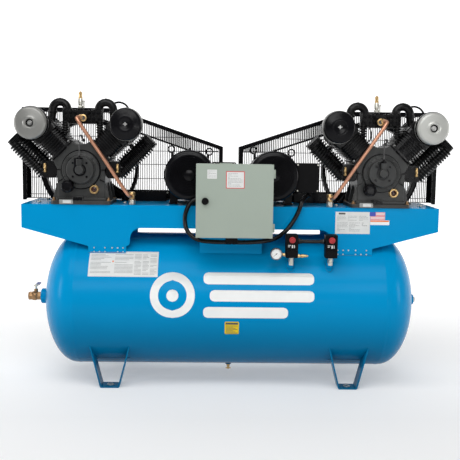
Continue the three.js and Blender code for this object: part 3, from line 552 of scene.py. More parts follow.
    # name plate, blank
    b = B().at(cx, 0, CRANK_Z)
    b.slabZ(rrect(-94, -34, -200.9, -199.8, 0.4, 2), -150, -131)
    b.obj(pre + "case_plate", "plate")
    b = B().at(cx, 0, CRANK_Z)
    for x in (-90, -38):
        b.cyl("Y", (x, 0, -140.5), 1.8, -201.8, -200.6, 12)
    b.obj(pre + "case_plate_rivets", "steel")
    b = B().at(cx, 0, CRANK_Z)
    b.plateY(rrect(-79, -43, -147, -134, 1, 2), -201.3, -200.7)
    b.obj(pre + "case_plate_blank", "paper")

    for sg in (-1, 1):
        tag = "outer" if sg == side else "inner"
        ry = sg * S45
        # barrels: round, with fins all the way up
        # painted shade: the core between the fins takes the near-black motor finish, darker than the fins, standing for
        # the shade between them
        b = B().at(cx, 0, CRANK_Z, ry=ry)
        b.slabZ(rrect(-51.5, 51.5, -191.5, 11.5, 30), 110, 215)
        b.obj(pre + "barrel_shaded_core_" + tag, "motor", angle=30)
        b = B().at(cx, 0, CRANK_Z, ry=ry)
        b.slabZ(rrect(-60, 60, -200, 20, 14), 115.3, 123)
        s = 127.0
        while s < 205:
            g = 1.0 if s > 160 else 0.93 + 0.07 * (s - 127) / 33
            fin_slab(b, -60 * g, 60 * g, -90 - 110 * g, -90 + 110 * g, 34, s, s + 4.6)
            s += 11.4
        b.slabZ(rrect(-60, 60, -200, 20, 14), 206, 215)
        b.obj(pre + "barrels_" + tag, "fin", bevel=0.5, seg=1, angle=30, slot="pump_iron", rep=(pre + "cylinder_block_" + tag,))
        b = B().at(cx, 0, CRANK_Z, ry=ry)
        for x in (-50, 50):
            for y in (-190, -125, -55, 10):
                b.hexb("Z", (x, y, 0), 6.5, 122.8, 128.5)
        b.obj(pre + "barrel_nuts_" + tag, "steel", bevel=0.3)
        # head: finned casting with bolts
        b = B().at(cx, 0, CRANK_Z, ry=ry)
        b.slabZ(rrect(-61, 61, -201, 21, 12), 215.3, 229)
        b.slabZ(rrect(-47, 47, -187, 7, 12), 229, 268)
        for i in range(13):
            y = -194 + i * 16.4
            b.loft([[(-60, y, 229), (60, y, 229), (60, y + 5, 229), (-60, y + 5, 229)],
                    [(-60, y + 0.6, 262), (60, y + 0.6, 262), (60, y + 4.4, 262), (-60, y + 4.4, 262)],
                    [(-52, y + 1.2, 278), (52, y + 1.2, 278), (52, y + 3.8, 278), (-52, y + 3.8, 278)]])
        b.slabZ(rrect(-34, 34, -170, -10, 12), 268, 285)
        b.obj(pre + "head_" + tag, "fin", bevel=0.6, seg=1, slot="pump_iron", rep=(pre + "cylinder_head_" + tag,))
        b = B().at(cx, 0, CRANK_Z, ry=ry)
        for x in (-53, 53):
            for y in (-186, -118, -62, 6):
                b.cyl("Z", (x, y, 0), 8.5, 229, 238, 20, 1)
                b.hexb("Z", (x, y, 0), 7, 238, 246, a0=0.5)
        b.obj(pre + "head_bolts_" + tag, "black", bevel=0.4)

        # suction filter
        fx, fz = sg * (200 if tag == "outer" else 203), 198
        b = B().at(cx, 0, CRANK_Z)
        if tag == "outer":
            prof = [(0, -278), (11, -278), (13, -279), (17, -285), (20, -288.5), (23, -289.5), (26, -288.5), (29, -285.5), (32, -284.8), (56, -284.2), (62, -282.8), (66, -279.5), (68.4, -274), (69.4, -266), (69.4, -223), (68, -218), (62, -211), (40, -209), (0, -209)]
            b.lathe(prof, "Y", (fx, 0, fz), 96)
            # painted light: the right-hand dome takes the lighter silver copy, painted reflection, and the left-hand
            # dome the darker one, painted shade
            b.obj(pre + "filter_cover_outer", "silver_lit" if side > 0 else "silver", angle=50, slot="filter_silver", rep=(pre + "air_filter_outer",))
            b = B().at(cx, 0, CRANK_Z)
            b.hexb("Y", (fx, 0, fz), 8, -285, -277.5)
            b.ring("Y", (fx, 0, fz), 5, 10.5, -279.6, -277.6, 28)
            b.cyl("Y", (fx, 0, fz), 4.2, -289.5, -284, 16, 0.8)
            b.obj(pre + "filter_nut_outer", "steel", bevel=0.5)
            # a black band round the rim, and a black ring on the slope round the nut that stands for the shade in its
            # recess (painted shade)
            b = B().at(cx, 0, CRANK_Z)
            b.lathe([(67, -260), (71.6, -260), (72.4, -258), (72.4, -246), (71.6, -244), (67, -244), (67, -260)], "Y", (fx, 0, fz), 96)
            b.lathe([(11.2, -279.4), (14.5, -282.4), (15.6, -285.0), (12.6, -280.8), (11.2, -279.4)], "Y", (fx, 0, fz), 48)
            b.obj(pre + "filter_rim_band_and_shade_ring_outer", "motor", angle=40)
        else:
            prof = [(0, -284), (20, -284), (22, -285.4), (40, -285.2), (42, -284), (58, -283.4), (64, -281), (68, -276), (69, -270), (69, -222), (66, -214), (60, -210), (40, -209), (0, -209)]
            b.lathe(prof, "Y", (fx, 0, fz), 96)
            b.obj(pre + "filter_cover_inner", "motor", angle=40, slot="black_enamel", rep=(pre + "air_filter_inner",))
            b = B().at(cx, 0, CRANK_Z)
            b.lathe([(69, -258), (70.6, -258), (71.2, -256), (71.2, -225), (70.5, -220), (69, -220), (69, -258)], "Y", (fx, 0, fz), 96)
            b.obj(pre + "filter_rim_inner", "silver", angle=45)
            b = B().at(cx, 0, CRANK_Z)
            for i in range(2):
                b.at(cx + fx, 0, CRANK_Z + fz, ry=i * math.pi / 2)
                b.box(-8.5, 8.5, -289, -284, -2.4, 2.4)
            b.at(cx, 0, CRANK_Z)
            b.cyl("Y", (fx, 0, fz), 5.2, -290, -283, 20, 0.8)
            b.obj(pre + "filter_nut_inner", "steel", bevel=0.6)
        b = B().at(cx, 0, CRANK_Z)
        b.lathe([(0, -211), (26, -211), (26, -206), (24, -204), (24, -150), (0, -150)], "Y", (sg * 186, 0, 184), 32)
        b.obj(pre + "filter_neck_" + tag, "blackrough", bevel=0.6)

        # intercooler: two finned tubes, collectors at both ends
        b = B().at(cx, 0, CRANK_Z, ry=ry)
        for p, y in ((134, -150), (100, -80)):
            x = sg * p
            b.cyl("Z", (x, y, 0), 16.5, 98, 300, 24)
            s = 108.0
            while s < 290:
                b.lathe([(15, s - 1.2), (20, s - 0.4), (27, s + 0.8), (28, s + 2.2), (28, s + 4.6), (27, s + 6.0), (20, s + 7.2), (15, s + 8)], "Z", (x, y, 0), 24)
                s += 13.0
        x0, x1 = (83, 151) if sg > 0 else (-151, -83)
        b.slabZ(rrect(x0 + 9, x1 - 9, -166, -64, 14), 286, 309)
        for s in (289, 297, 305):
            fin_slab(b, x0, x1, -174, -56, 20, s, s + 4.4)
        for y in (-160, -115, -70):
            xs = sg * (130 if y == -160 else (118 if y == -115 else 104))
            b.cyl("Z", (xs, y, 0), 9, 280, 290, 20, 1)
        b.obj(pre + "cooler_" + tag, "blackrough", bevel=0.7, seg=1, angle=35, slot="black_enamel", rep=(pre + "intercooler_" + tag,))
        b = B().at(cx, 0, CRANK_Z)
        u0, u1 = (107, 172) if sg > 0 else (-172, -107)
        b.plateY(rrect(u0, u1, -38, 36, 16), -176, -56)
        for w in (-22, 20):
            for u in (u0 + 16, u1 - 16):
                b.hexb("Y", (u, 0, w), 6, -181, -175.5)
        b.cyl("X", (0, -116, 4), 16, u0 - 6 if sg > 0 else u1 - 2, u0 + 2 if sg > 0 else u1 + 6, 24)
        b.obj(pre + "cooler_box_" + tag, "blackrough", bevel=1.6)
        b = B().at(cx, 0, CRANK_Z)
        bx = sg * 158
        b.hexb("Z", (bx, -180, 0), 7, -13, -4)
        b.lathe([(0, -6), (4.5, -6), (4.5, 2), (6.5, 3), (6.5, 15), (5.5, 17), (5.5, 24), (4, 26), (0, 27)], "Z", (bx, -180, 0), 24)
        b.obj(pre + "relief_" + tag, "brass", bevel=0.3)

    # collector over the top, with its return bends
    b = B().at(cx, 0, CRANK_Z)
    b.slabZ(rrect(-88, 88, -149, -91, 10), 210, 259)
    for i in range(12):
        x = -83 + i * 15.1
        if abs(x) < 20: continue
        b.slabZ(rrect(x - 2, x + 2, -152, -88, 1.8, 3), 207, 262)
    b.cyl("Y", (0, 0, 227), 16, -165, -148, 32, 1.4)
    b.cyl("Z", (-14, -104, 0), 14, 255, 268, 28, 1.4)
    b.slabZ(rrect(-70, 70, -140, -100, 12), 200, 211)
    b.obj(pre + "collector", "blackrough", bevel=0.8, seg=1, slot="black_enamel", rep=(pre + "discharge_manifold",))
    b = B().at(cx, 0, CRANK_Z)
    for sg in (-1, 1):
        pts = [(sg * 68, -120, 205), (sg * 68, -120, 240), (sg * 68, -120, 255)]
        for k in range(15):
            a = math.pi - math.pi * k / 14
            pts.append((sg * (101 + 33 * math.cos(a)), -120, 262 + 33 * math.sin(a)))
        pts += [(sg * 134.5, -120, 250), (sg * 137, -120, 232), (sg * 142, -120, 205)]
        b.tube(pts, 17.5, 28, smooth=0)
        b.cyl("Z", (sg * 68, -120, 0), 22.5, 257, 266, 32, 2)
        b.cyl("Z", (sg * 134.5, -120, 0), 21.5, 246, 256, 32, 2)
        b.torus((sg * 101, -120, 262), 33, 18.6, "Y", 1, 24, math.pi / 2 - 0.04, math.pi / 2 + 0.04)
    b.obj(pre + "return_bends", "blackrough", angle=40)
    b = B().at(cx, 0, CRANK_Z)
    for sg in (-1, 1):
        for k in range(5):
            b.lathe([(9, 158 + k * 11), (15, 159 + k * 11), (16.5, 161 + k * 11), (16.5, 164 + k * 11), (15, 166 + k * 11), (9, 167 + k * 11)], "Z", (sg * 76, -134, 0), 24)
        b.cyl("Z", (sg * 76, -134, 0), 10, 140, 214, 24)
    b.obj(pre + "interstage", "blackrough", bevel=0.4, seg=1, angle=40)
    b = B().at(cx, 0, CRANK_Z)
    b.tube([(-62, -158, 205), (-56, -176, 196), (-50, -186, 176), (-52, -190, 152), (-62, -190, 138)], 2.6, 10)
    b.obj(pre + "pilot_line", "steeldk", angle=60)
    b = B().at(cx, 0, CRANK_Z)
    for sg in (-1, 1):
        for u in (30, 50, 72):
            for w in (222, 247):
                b.hexb("Y", (sg * u, 0, w), 6.2, -157.5, -151.5, a0=0.4)
                b.cyl("Y", (sg * u, 0, w), 3.2, -160.5, -157, 12, 0.5)
    b.obj(pre + "collector_bolts", "black", bevel=0.4)

    # safety valve
    b = B().at(cx, 0, CRANK_Z)
    b.hexb("Z", (-14, -104, 0), 11.5, 268.3, 280)
    b.lathe([(0, 280), (8, 280), (8, 284), (10.5, 286), (10.5, 309), (9, 312), (0, 312)], "Z", (-14, -104, 0), 28)
    b.obj(pre + "safety_body", "zinc", bevel=0.5, slot="zinc_plate", rep=(pre + "safety_valve",))
    b = B().at(cx, 0, CRANK_Z)
    b.lathe([(0, 311.5), (9, 311.5), (9, 318), (7.5, 320), (7.5, 330), (8.2, 331), (8.2, 337), (6.5, 339), (4, 340), (4, 343), (0, 343)], "Z", (-14, -104, 0), 28)
    b.obj(pre + "safety_cap", "brass", bevel=0.3)
    dress(NODES[pre + "safety_valve_lever"], "zinc", bevel=0.4)

    # copper pipe down to its check valve
    si = -side
    pts = [(0, -197, 227), (-8 * si, -203, 227), (-13 * si, -212, 222), (-6 * si, -216, 210), (8 * si, -216, 188), (59 * si, -214.5, 113), (110 * si, -213, 38), (160 * si, -210, -38), (200 * si, -208, -97), (212 * si, -198, -112), (220 * si, -182, -115), (221 * si, -168, -115)]
    b = B().at(cx, 0, CRANK_Z)
    b.tube(pts, 8.2, 20, smooth=6)
    b.obj(pre + "copper_pipe", "copper", angle=60, slot="copper", rep=(pre + "discharge_pipe",))
    b = B().at(cx, 0, CRANK_Z)
    b.hexb("Y", (0, 0, 227), 14.5, -176, -166)
    b.cyl("Y", (0, 0, 227), 11, -200, -165.3, 28, 1)
    b.hexb("Y", (si * 12, 0, 224), 15, -196, -176)
    b.lathe([(13.2, -197), (15.6, -197), (15.6, -203), (9.6, -204), (9.0, -197.4), (13.2, -197)], "Y", (si * 12, 0, 224), 36)
    b.lathe([(0, -112), (14, -112), (14, -100), (12, -96), (0, -96)], "Z", (221 * si, -165, 0), 28)
    b.hexb("Y", (221 * si, 0, -115), 13.5, -190, -178)
    b.obj(pre + "pipe_nuts", "brass", bevel=0.7)
    b = B().at(cx, 0, CRANK_Z)
    b.lathe([(0, -128), (13, -128), (13, -122), (12, -121), (12, -110), (0, -110)], "Z", (221 * si, -165, 0), 28)
    b.obj(pre + "check_collar", "copper", bevel=0.5)
    # painted shade: a dark disc filling the elbow nut's bore
    b = B().at(cx, 0, CRANK_Z)
    b.lathe([(0, -199), (8.9, -199), (8.9, -196), (0, -196)], "Y", (si * 12, 0, 224), 32)
    b.obj(pre + "elbow_bore_shade", "ink")
    b = B().at(cx, 0, CRANK_Z)
    b.hexb("Z", (221 * si, -165, 0), 16, -144, -130)
    b.cyl("Z", (221 * si, -165, 0), 15, -152.7, -143, 28, 1)
    b.obj(pre + "check_base", "zinc", bevel=0.7)

    # thin unloader line beside the right-hand bank
    b = B().at(cx, 0, CRANK_Z)
    b.tube([(118, -104, 272), (128, -102, 288), (144, -100, 296), (163, -100, 297), (184, -101, 288), (199, -103, 268), (200, -106, 248)], 4.4, 14)
    b.obj(pre + "unloader_line", "black", angle=60)
    b = B().at(cx, 0, CRANK_Z)
    b.hexb("Z", (200, -106, 0), 7, 226, 246)
    b.cyl("Z", (200, -106, 0), 9.5, 212, 228, 20, 1)
    b.obj(pre + "unloader_fitting", "black", bevel=0.5)

    # flywheel and shaft
    body = pre + "crank"
    b = B().at(cx, 0, CRANK_Z)
    prof = [(210, 72), (212, 74)]
    prof = [(210, 74), (212, 72), (226, 72)]
    for i in range(2):
        y = 79 + i * 20
        prof += [(226, y), (219, y + 4), (219, y + 11), (226, y + 15)]
    prof += [(226, 122), (212, 122), (210, 120), (208, 97), (210, 74)]
    b.lathe(prof, "Y", (0, 0, 0), 128)
    b.lathe([(20.1, 60), (36, 60), (40, 64), (40, 120), (38, 122), (20.1, 122), (20.1, 60)], "Y", (0, 0, 0), 48)
    for i in range(4):
        a = S45 + math.pi / 2 * i
        # a swept spoke, turned like a fan blade
        for r0, r1 in ((36, 212),):
            rings = []
            for k in range(9):
                t = k / 8; r = r0 + (r1 - r0) * t
                wdt = 20 - 5 * math.sin(math.pi * t); tilt = 0.35 * (1 - t) + 0.25
                ct, st = math.cos(tilt), math.sin(tilt)
                row = []
                for q in range(10):
                    g = 2 * math.pi * q / 10
                    du, dy = wdt * math.cos(g), 5.2 * math.sin(g)
                    U, Yy = du * ct - dy * st, du * st * 0.5 + dy * ct
                    ca, sa = math.cos(a + 0.10 * t), math.sin(a + 0.10 * t)
                    row.append((r * ca - U * sa, 97 + Yy, r * sa + U * ca))
                rings.append(row)
            b.loft(rings)
    b.obj(pre + "flywheel_wheel", "black", body=body, bevel=0.6, angle=35, slot="black_enamel", rep=(pre + "flywheel",))
    b = B().at(cx, 0, CRANK_Z)
    b.cyl("Y", (0, 0, 0), 20, 38.3, 126, 40, 1.5)
    b.ring("Y", (0, 0, 0), 20, 30, 40, 46, 40)
    b.obj(pre + "shaft", "steel", body=body, bevel=0.0, slot="bare_steel", rep=(pre + "crankshaft",))
    b = B().at(cx, 0, CRANK_Z)
    b.hexb("Y", (0, 0, 0), 14, 122, 126)
    b.cyl("Y", (30, 0, 0), 4, 120, 124, 16, 0.5)
    b.cyl("Y", (-30, 0, 0), 4, 120, 124, 16, 0.5)
    b.obj(pre + "hub_bolts", "zinc", body=body, bevel=0.3)


# ------------------------------------------------------------------ motors
def motor(side):
    pre = "left_" if side < 0 else "right_"
    cx = side * MOTOR_X
    b = B().at(cx, 0, MOTOR_Z)
    b.lathe([(103, -140), (99, -146), (99, -150), (101, -146), (102, -140), (102, 6), (96, 14), (60, 30), (34, 38), (18.4, 38), (18.4, 24), (70, 10), (92, -2), (92, -140), (103, -140)], "Y", (0, 0, 0), 96)
    for i in range(40):
        a = 2 * math.pi * i / 40
        if abs(a) < 0.62 or abs(a - 2 * math.pi) < 0.62: continue
        b.at(cx, 0, MOTOR_Z, ry=-a)
        b.box(98, 109, -144, 2, -1.6, 1.6)
    b.at(cx, 0, MOTOR_Z)
    b.obj(pre + "motor_shell", "motor", bevel=0.5, seg=1, angle=32, slot="motor_black", rep=(pre + "motor_frame",))
    # cowl over the fan, with a ring grille
    b = B().at(cx, 0, MOTOR_Z)
    b.lathe([(108.5, -147), (111, -150), (111, -190), (109, -196), (102, -201.5), (94, -204), (90, -204.5), (90, -201), (100, -198), (106, -191), (108, -186), (108, -150), (108.5, -147)], "Y", (0, 0, 0), 112)
    b.obj(pre + "motor_cowl", "motor", angle=40)
    b = B().at(cx, 0, MOTOR_Z)
    b.lathe([(0, -207), (22, -207), (24, -205.5), (24, -203), (0, -203)], "Y", (0, 0, 0), 56)
    for r in (30, 37, 44, 51, 58, 65, 72, 79, 86):
        b.lathe([(r - 2.7, -204.2), (r - 1.2, -205.8), (r + 1.2, -205.8), (r + 2.7, -204.2), (r + 2.7, -203), (r - 2.7, -203), (r - 2.7, -204.2)], "Y", (0, 0, 0), 72)
    for i in range(8):
        a = S45 * i + 0.2
        b.at(cx, 0, MOTOR_Z, ry=-a)
        b.box(22, 92, -203.4, -201.6, -1.6, 1.6)
    b.at(cx, 0, MOTOR_Z)
    b.lathe([(0, -166), (92, -166), (92, -163), (0, -163)], "Y", (0, 0, 0), 56)
    b.obj(pre + "motor_grille", "motor", angle=40)
    # feet, box, eyes
    b = B().at(cx, 0, MOTOR_Z)
    for sx in (-1, 1):
        x0, x1 = (56, 92) if sx > 0 else (-92, -56)
        b.box(x0, x1, -112, 6, 810 - MOTOR_Z + 0.4, 818 - MOTOR_Z)
        for y in (-104, -53, -2):
            xi, xo = (62, 70) if sx > 0 else (-70, -62)
            b.loft([[(sx * 58, y - 4, -86), (sx * 58, y + 4, -86), (sx * 88, y + 4, -70), (sx * 88, y - 4, -70)],
                    [(sx * 58, y - 4, -126), (sx * 58, y + 4, -126), (sx * 90, y + 4, -126), (sx * 90, y - 4, -126)]])
        b.box(min(sx * 60, sx * 68), max(sx * 60, sx * 68), -106, 0, -126, -80)
    b.obj(pre + "motor_feet", "motor", bevel=1.0)
    b = B().at(cx, 0, MOTOR_Z)
    b.slabZ(rrect(98, 196, -150, -56, 8), -70, 57)
    b.obj(pre + "motor_box", "plastic", bevel=2.0, seg=3)
    b = B().at(cx, 0, MOTOR_Z)
    b.plateY(rrect(101, 206, -72, 59, 6), -152, -146)
    b.obj(pre + "motor_box_lid", "plastic", bevel=1.4, seg=3)
    b = B().at(cx, 0, MOTOR_Z)
    for x in (109, 198):
        for z in (-64, 51):
            b.cyl("Y", (x, 0, z), 3.6, -153.6, -151.6, 16, 0.5)
    for sx in (-1, 1):
        for y in (-92, -14):
            b.hexb("Z", (sx * 84, y, 0), 7.5, -125.4, -119)
            b.ring("Z", (sx * 84, y, 0), 5, 11, -126.6, -125.2, 20)
    for i in range(4):
        a = S45 + math.pi / 2 * i
        b.hexb("Y", (104 * math.cos(a), 0, 104 * math.sin(a)), 4, -150.5, -147)
    b.obj(pre + "motor_bolts", "zinc", bevel=0.3)
    b = B().at(cx, 0, MOTOR_Z)
    b.torus((-86, -70, 112), 15, 3.2, "Y", 32, 10)
    b.torus((86, -70, 103), 15, 3.2, "Y", 32, 10)
    b.cyl("Z", (-80, -70, 0), 6, 66, 99, 20, 1)
    b.cyl("Z", (80, -70, 0), 6, 62, 90, 20, 1)
    b.lathe([(0, 100), (3.4, 100), (3.4, 118), (2.4, 120), (0, 120)], "Z", (2, -196, 0), 16)
    b.obj(pre + "motor_eyes", "motor", angle=50)
    # rotor: shaft, pulley
    body = pre + "motor_rotor"
    b = B().at(cx, 0, MOTOR_Z)
    prof = [(58, 74), (60, 72), (92, 72)]
    for i in range(2):
        y = 79 + i * 20
        prof += [(92, y), (85, y + 4), (85, y + 11), (92, y + 15)]
    prof += [(92, 122), (84, 122), (80, 120), (80, 108), (58, 106), (58, 74)]
    b.lathe(prof, "Y", (0, 0, 0), 96)
    b.lathe([(14.1, 64), (28, 64), (30, 67), (30, 118), (28, 120), (14.1, 120), (14.1, 64)], "Y", (0, 0, 0), 40)
    for i in range(5):
        a = 2 * math.pi * i / 5
        b.at(cx, 0, MOTOR_Z, ry=-a)
        b.loft([[(26, 84, -9), (26, 108, -9), (26, 108, 9), (26, 84, 9)], [(62, 88, -7), (62, 104, -7), (62, 104, 7), (62, 88, 7)]])
    b.obj(pre + "pulley", "black", body=body, bevel=0.6, angle=35, slot="black_enamel", rep=(pre + "motor_rotor",))
    b = B().at(cx, 0, MOTOR_Z)
    b.cyl("Y", (0, 0, 0), 14, -115, 126, 32, 1.2)
    b.box(-3, 3, 60, 122, 12, 16.2)
    b.lathe([(14, -112), (58, -112), (59.5, -110), (59.5, -20), (58, -18), (14, -18), (14, -112)], "Y", (0, 0, 0), 48)
    b.obj(pre + "rotor_shaft", "steel", body=body, angle=40)


for s in (-1, 1):
    pump(s)
    motor(s)


# ------------------------------------------------------------------ guards, belts
def guard(side):
    pre = "left_" if side < 0 else "right_"
    X = lambda v: side * v
    b = B()
    # open at the bottom, where the wheel dips through the deck
    ring = [(970, 811), (970, 1240), (546, 1240), (37, 1069), (37, 811)]
    inner = [(967, 811), (967, 1237), (546.5, 1237), (40, 1066.8), (40, 811)]
    lip = [(952, 811), (952, 1222), (549, 1222), (55, 1056), (55, 811)]
    b.plateY([(X(x), z) for x, z in ring + inner[::-1]], 45, 150)
    # turned-in flanges front and back
    for y0, y1 in ((45, 48), (147, 150)):
        b.plateY([(X(x), z) for x, z in ring + lip[::-1]], y0, y1)
    b.obj(pre + "guard_band", "black", bevel=0.6, seg=1, slot="black_enamel", rep=(pre + "belt_guard",))
    b = B()
    # lower rails
    x0, x1 = sorted((X(300), X(500)))
    b.box(x0, x1, 45.2, 47.8, 811.2, 858)
    x0, x1 = sorted((X(42), X(745)))
    b.box(x0, x1, 143.8, 146.6, 811.5, 858)
    x0, x1 = sorted((X(740), X(965)))
    b.box(x0, x1, 143.8, 146.6, 811.5, 815)
    b.obj(pre + "guard_rails", "black", bevel=0.8, seg=1)

    def top(x):
        return 1222.5 if x > 549 else 1056 + (x - 55) * (1222 - 1056) / (549 - 55)
    b = B()
    wires = []
    x = 60.0
    while x < 950:
        wires.append((x, 857 if x < 744 else 814, top(x) + 2, 146.0)); x += 8.6
    x = 60.0
    while x < 560:
        lo = 1048 + (x - 186) * (1166 - 1048) / (560 - 186) if x > 186 else 1048
        if top(x) - lo > 6: wires.append((x, lo, top(x) + 2, 48.6))
        x += 8.6
    for x, z0, z1, y in wires:
        r = 2.3
        b.loft([[(X(x) + r * math.cos(S45 + math.pi / 2 * q), y + r * math.sin(S45 + math.pi / 2 * q), z) for q in range(4)] for z in (z0, z1)])
    for z in (832, 912, 980, 1044, 1110, 1176):
        # cross wires, as far as the sloping edge lets them run
        xa = 55 if z < 1054 else 55 + (z - 1056) * (549 - 55) / (1222 - 1056)
        b.loft([[(xx, 144.6 + 1.9 * math.cos(S45 + math.pi / 2 * q), z + 1.9 * math.sin(S45 + math.pi / 2 * q)) for q in range(4)] for xx in (X(xa + 1), X(952))])
    # edge wire of the upper front panel
    b.tube([(X(58), 49.6, 1048), (X(186), 49.6, 1048), (X(560), 49.6, 1166)], 1.6, 6, smooth=0)
    b.loft([[(xx, 49.6 + 1.2 * math.cos(S45 + math.pi / 2 * q), 1110 + 1.2 * math.sin(S45 + math.pi / 2 * q)) for q in range(4)] for xx in (X(216), X(382))])
    b.obj(pre + "guard_wires", "black", angle=60, rep=(pre + "guard_mesh",))
    b = B()
    for x in (120, 300, 520, 700):
        b.hexb("Y", (X(x), 0, 846 if x < 744 else 1000), 5, 140.5, 144)
    b.obj(pre + "guard_screws", "zinc", bevel=0.3)


def belts(side):
    pre = "left_" if side < 0 else "right_"
    # two belts round wheel and pulley
    cx1, cz1, r1 = side * PUMP_X, CRANK_Z, FLY_R
    cx2, cz2, r2 = side * MOTOR_X, MOTOR_Z, PUL_R
    dx, dz = cx2 - cx1, cz2 - cz1
    D = math.hypot(dx, dz); base = math.atan2(dz, dx)
    al = math.acos((r1 - r2) / D)

    def loop(off):
        pts = []
        for k in range(65):
            a = base + al + (2 * math.pi - 2 * al) * k / 64
            pts.append((cx1 + (r1 + off) * math.cos(a), cz1 + (r1 + off) * math.sin(a)))
        for k in range(33):
            a = base - al + 2 * al * k / 32
            pts.append((cx2 + (r2 + off) * math.cos(a), cz2 + (r2 + off) * math.sin(a)))
        return pts
    for i in range(2):
        y = 79.4 + i * 20
        b = B()
        P = [loop(0.8), loop(8.6)]
        n = len(P[0])
        rings = []
        lo, hi = P
        for k in range(n):
            rings.append([(lo[k][0], y + 3.2, lo[k][1]), (hi[k][0], y, hi[k][1]), (hi[k][0], y + 14.4, hi[k][1]), (lo[k][0], y + 11.2, lo[k][1])])
        b.loft(rings, False, True)
        b.obj(pre + "belt_" + str(i + 1), "rubber", angle=40, rep=(pre + "drive_belts",) if i == 0 else (), slot="belt_rubber" if i == 0 else None)


for s in (-1, 1):
    guard(s)
    belts(s)


# ------------------------------------------------------------------ control box
dress(NODES["control_enclosure"], "grey", bevel=1.2)
dress(NODES["enclosure_door"], "grey", bevel=1.6, seg=3)
dress(NODES["starter_panel"], "plastic", bevel=0.8)
b = B()
b.lathe([(0, -351), (15, -351), (15, -359), (13.6, -361), (0, -361)], "Y", (-114, 0, 843), 40)
b.ring("Y", (-114, 0, 843), 12.0, 13.2, -361.6, -360.8, 36)
b.slabZ([(-117.2, -363.8), (-110.8, -363.8), (-110.8, -360), (-117.2, -360)], 832, 854)
b.cyl("Y", (-114, 0, 843), 6, -351, -337, 20)
b.box(-128, -110, -337.4, -335, 834, 852)
b.obj("latch_knob", "plastic", body="door_latch", bevel=0.6, rep=("door_latch",))


def plate(name, mat, x0, x1, z0, z1, y, body, t=0.5, r=1.0):
    b = B(); b.plateY(rrect(x0, x1, z0, z1, r, 3), y - t, y + 0.05)
    return b.obj(name, mat, body=body)


def bars(b, x0, x1, z0, z1, y, rows, seed, fill=0.62, cols=1, gap=3.0):
    # rows of short plain strokes, standing in for a printed block
    st = seed
    cw = (x1 - x0 - gap * (cols - 1)) / cols
    for c in range(cols):
        xa = x0 + c * (cw + gap)
        for i in range(rows):
            z = z1 - (i + 0.5) * (z1 - z0) / rows
            h = (z1 - z0) / rows * 0.30
            x = xa
            while x < xa + cw - 2:
                st = (st * 1103515245 + 12345) % 2147483648
                w = 3 + 7 * (st / 2147483648)
                e = min(x + w, xa + cw)
                if e - x > 1.5:
                    b.box(x, e, y - 0.12, y + 0.05, z - h / 2, z + h / 2)
                x = e + 1.6
                if st % 7 == 0 and fill < 0.9: break
    return b


plate("door_label_small", "paper", -106, -66, 938, 976, -350.0, "enclosure_door")
b = B(); bars(b, -102, -70, 942, 973, -350.5, 6, 11); b.obj("door_label_small_print", "inklight", body="enclosure_door")
plate("door_label_border", "redline", -27, 51, 898, 970, -350.0, "enclosure_door")
plate("door_label_large", "paper", -24, 48, 901, 967, -350.5, "enclosure_door", 0.25)
b = B(); bars(b, -19, 43, 905, 963, -350.75, 11, 23); b.obj("door_label_large_print", "inklight", body="enclosure_door")


# ------------------------------------------------------------------ valves, switches, gauge
b = B()
b.hexb("X", (0, 0, TZ), 20, -900, -878)
b.hexb("X", (0, 0, TZ), 20, -938, -920)
b.lathe([(0, -925), (17, -925), (21, -918), (22, -910), (21, -902), (17, -896), (0, -896)], "X", (0, 0, TZ), 36)
b.lathe([(12, -878.5), (12, -866), (0, -866)], "X", (0, 0, TZ), 28)
b.lathe([(13, -938.4), (16, -938.4), (16, -936), (13, -936), (13, -938.4)], "X", (0, 0, TZ), 28)
b.cyl("Z", (-904, 0, 0), 9, 380, 397, 28, 1)
b.obj("ball_valve", "brassdk", bevel=0.8, slot="brass", rep=("ball_valve_body",))
b = B()
b.slabZ([(-914, -9), (-894, -9), (-894, 12), (-898, 26), (-898, 76), (-900, 78), (-908, 78), (-910, 76), (-910, 26), (-914, 12)], 410, 413)
b.box(-912, -896, 10, 20, 409.4, 410.4)
b.obj("ball_valve_arm", "zinc", body="ball_valve_lever", bevel=0.7, rep=("ball_valve_lever",))
b = B()
b.slabZ(rrect(-912.5, -895.5, 30, 80, 4), 408, 415)
for y in (38, 46, 54, 62, 70):
    b.slabZ(rrect(-911.5, -896.5, y, y + 4, 1.6), 407.6, 415.4)
b.obj("ball_valve_grip", "bluelever", body="ball_valve_lever", bevel=1.6, seg=3)
b = B()
b.hexb("Z", (-904, 0, 0), 8, 413, 417)
b.cyl("Z", (-904, 0, 0), 4.5, 396, 419, 20, 0.6)
b.obj("ball_valve_nut", "zinc", body="ball_valve_lever", bevel=0.3)

dress(NODES["drain_valve_body"], "brass", bevel=0.5)
dress(NODES["drain_valve_tee"], "brass", bevel=0.6, seg=3)


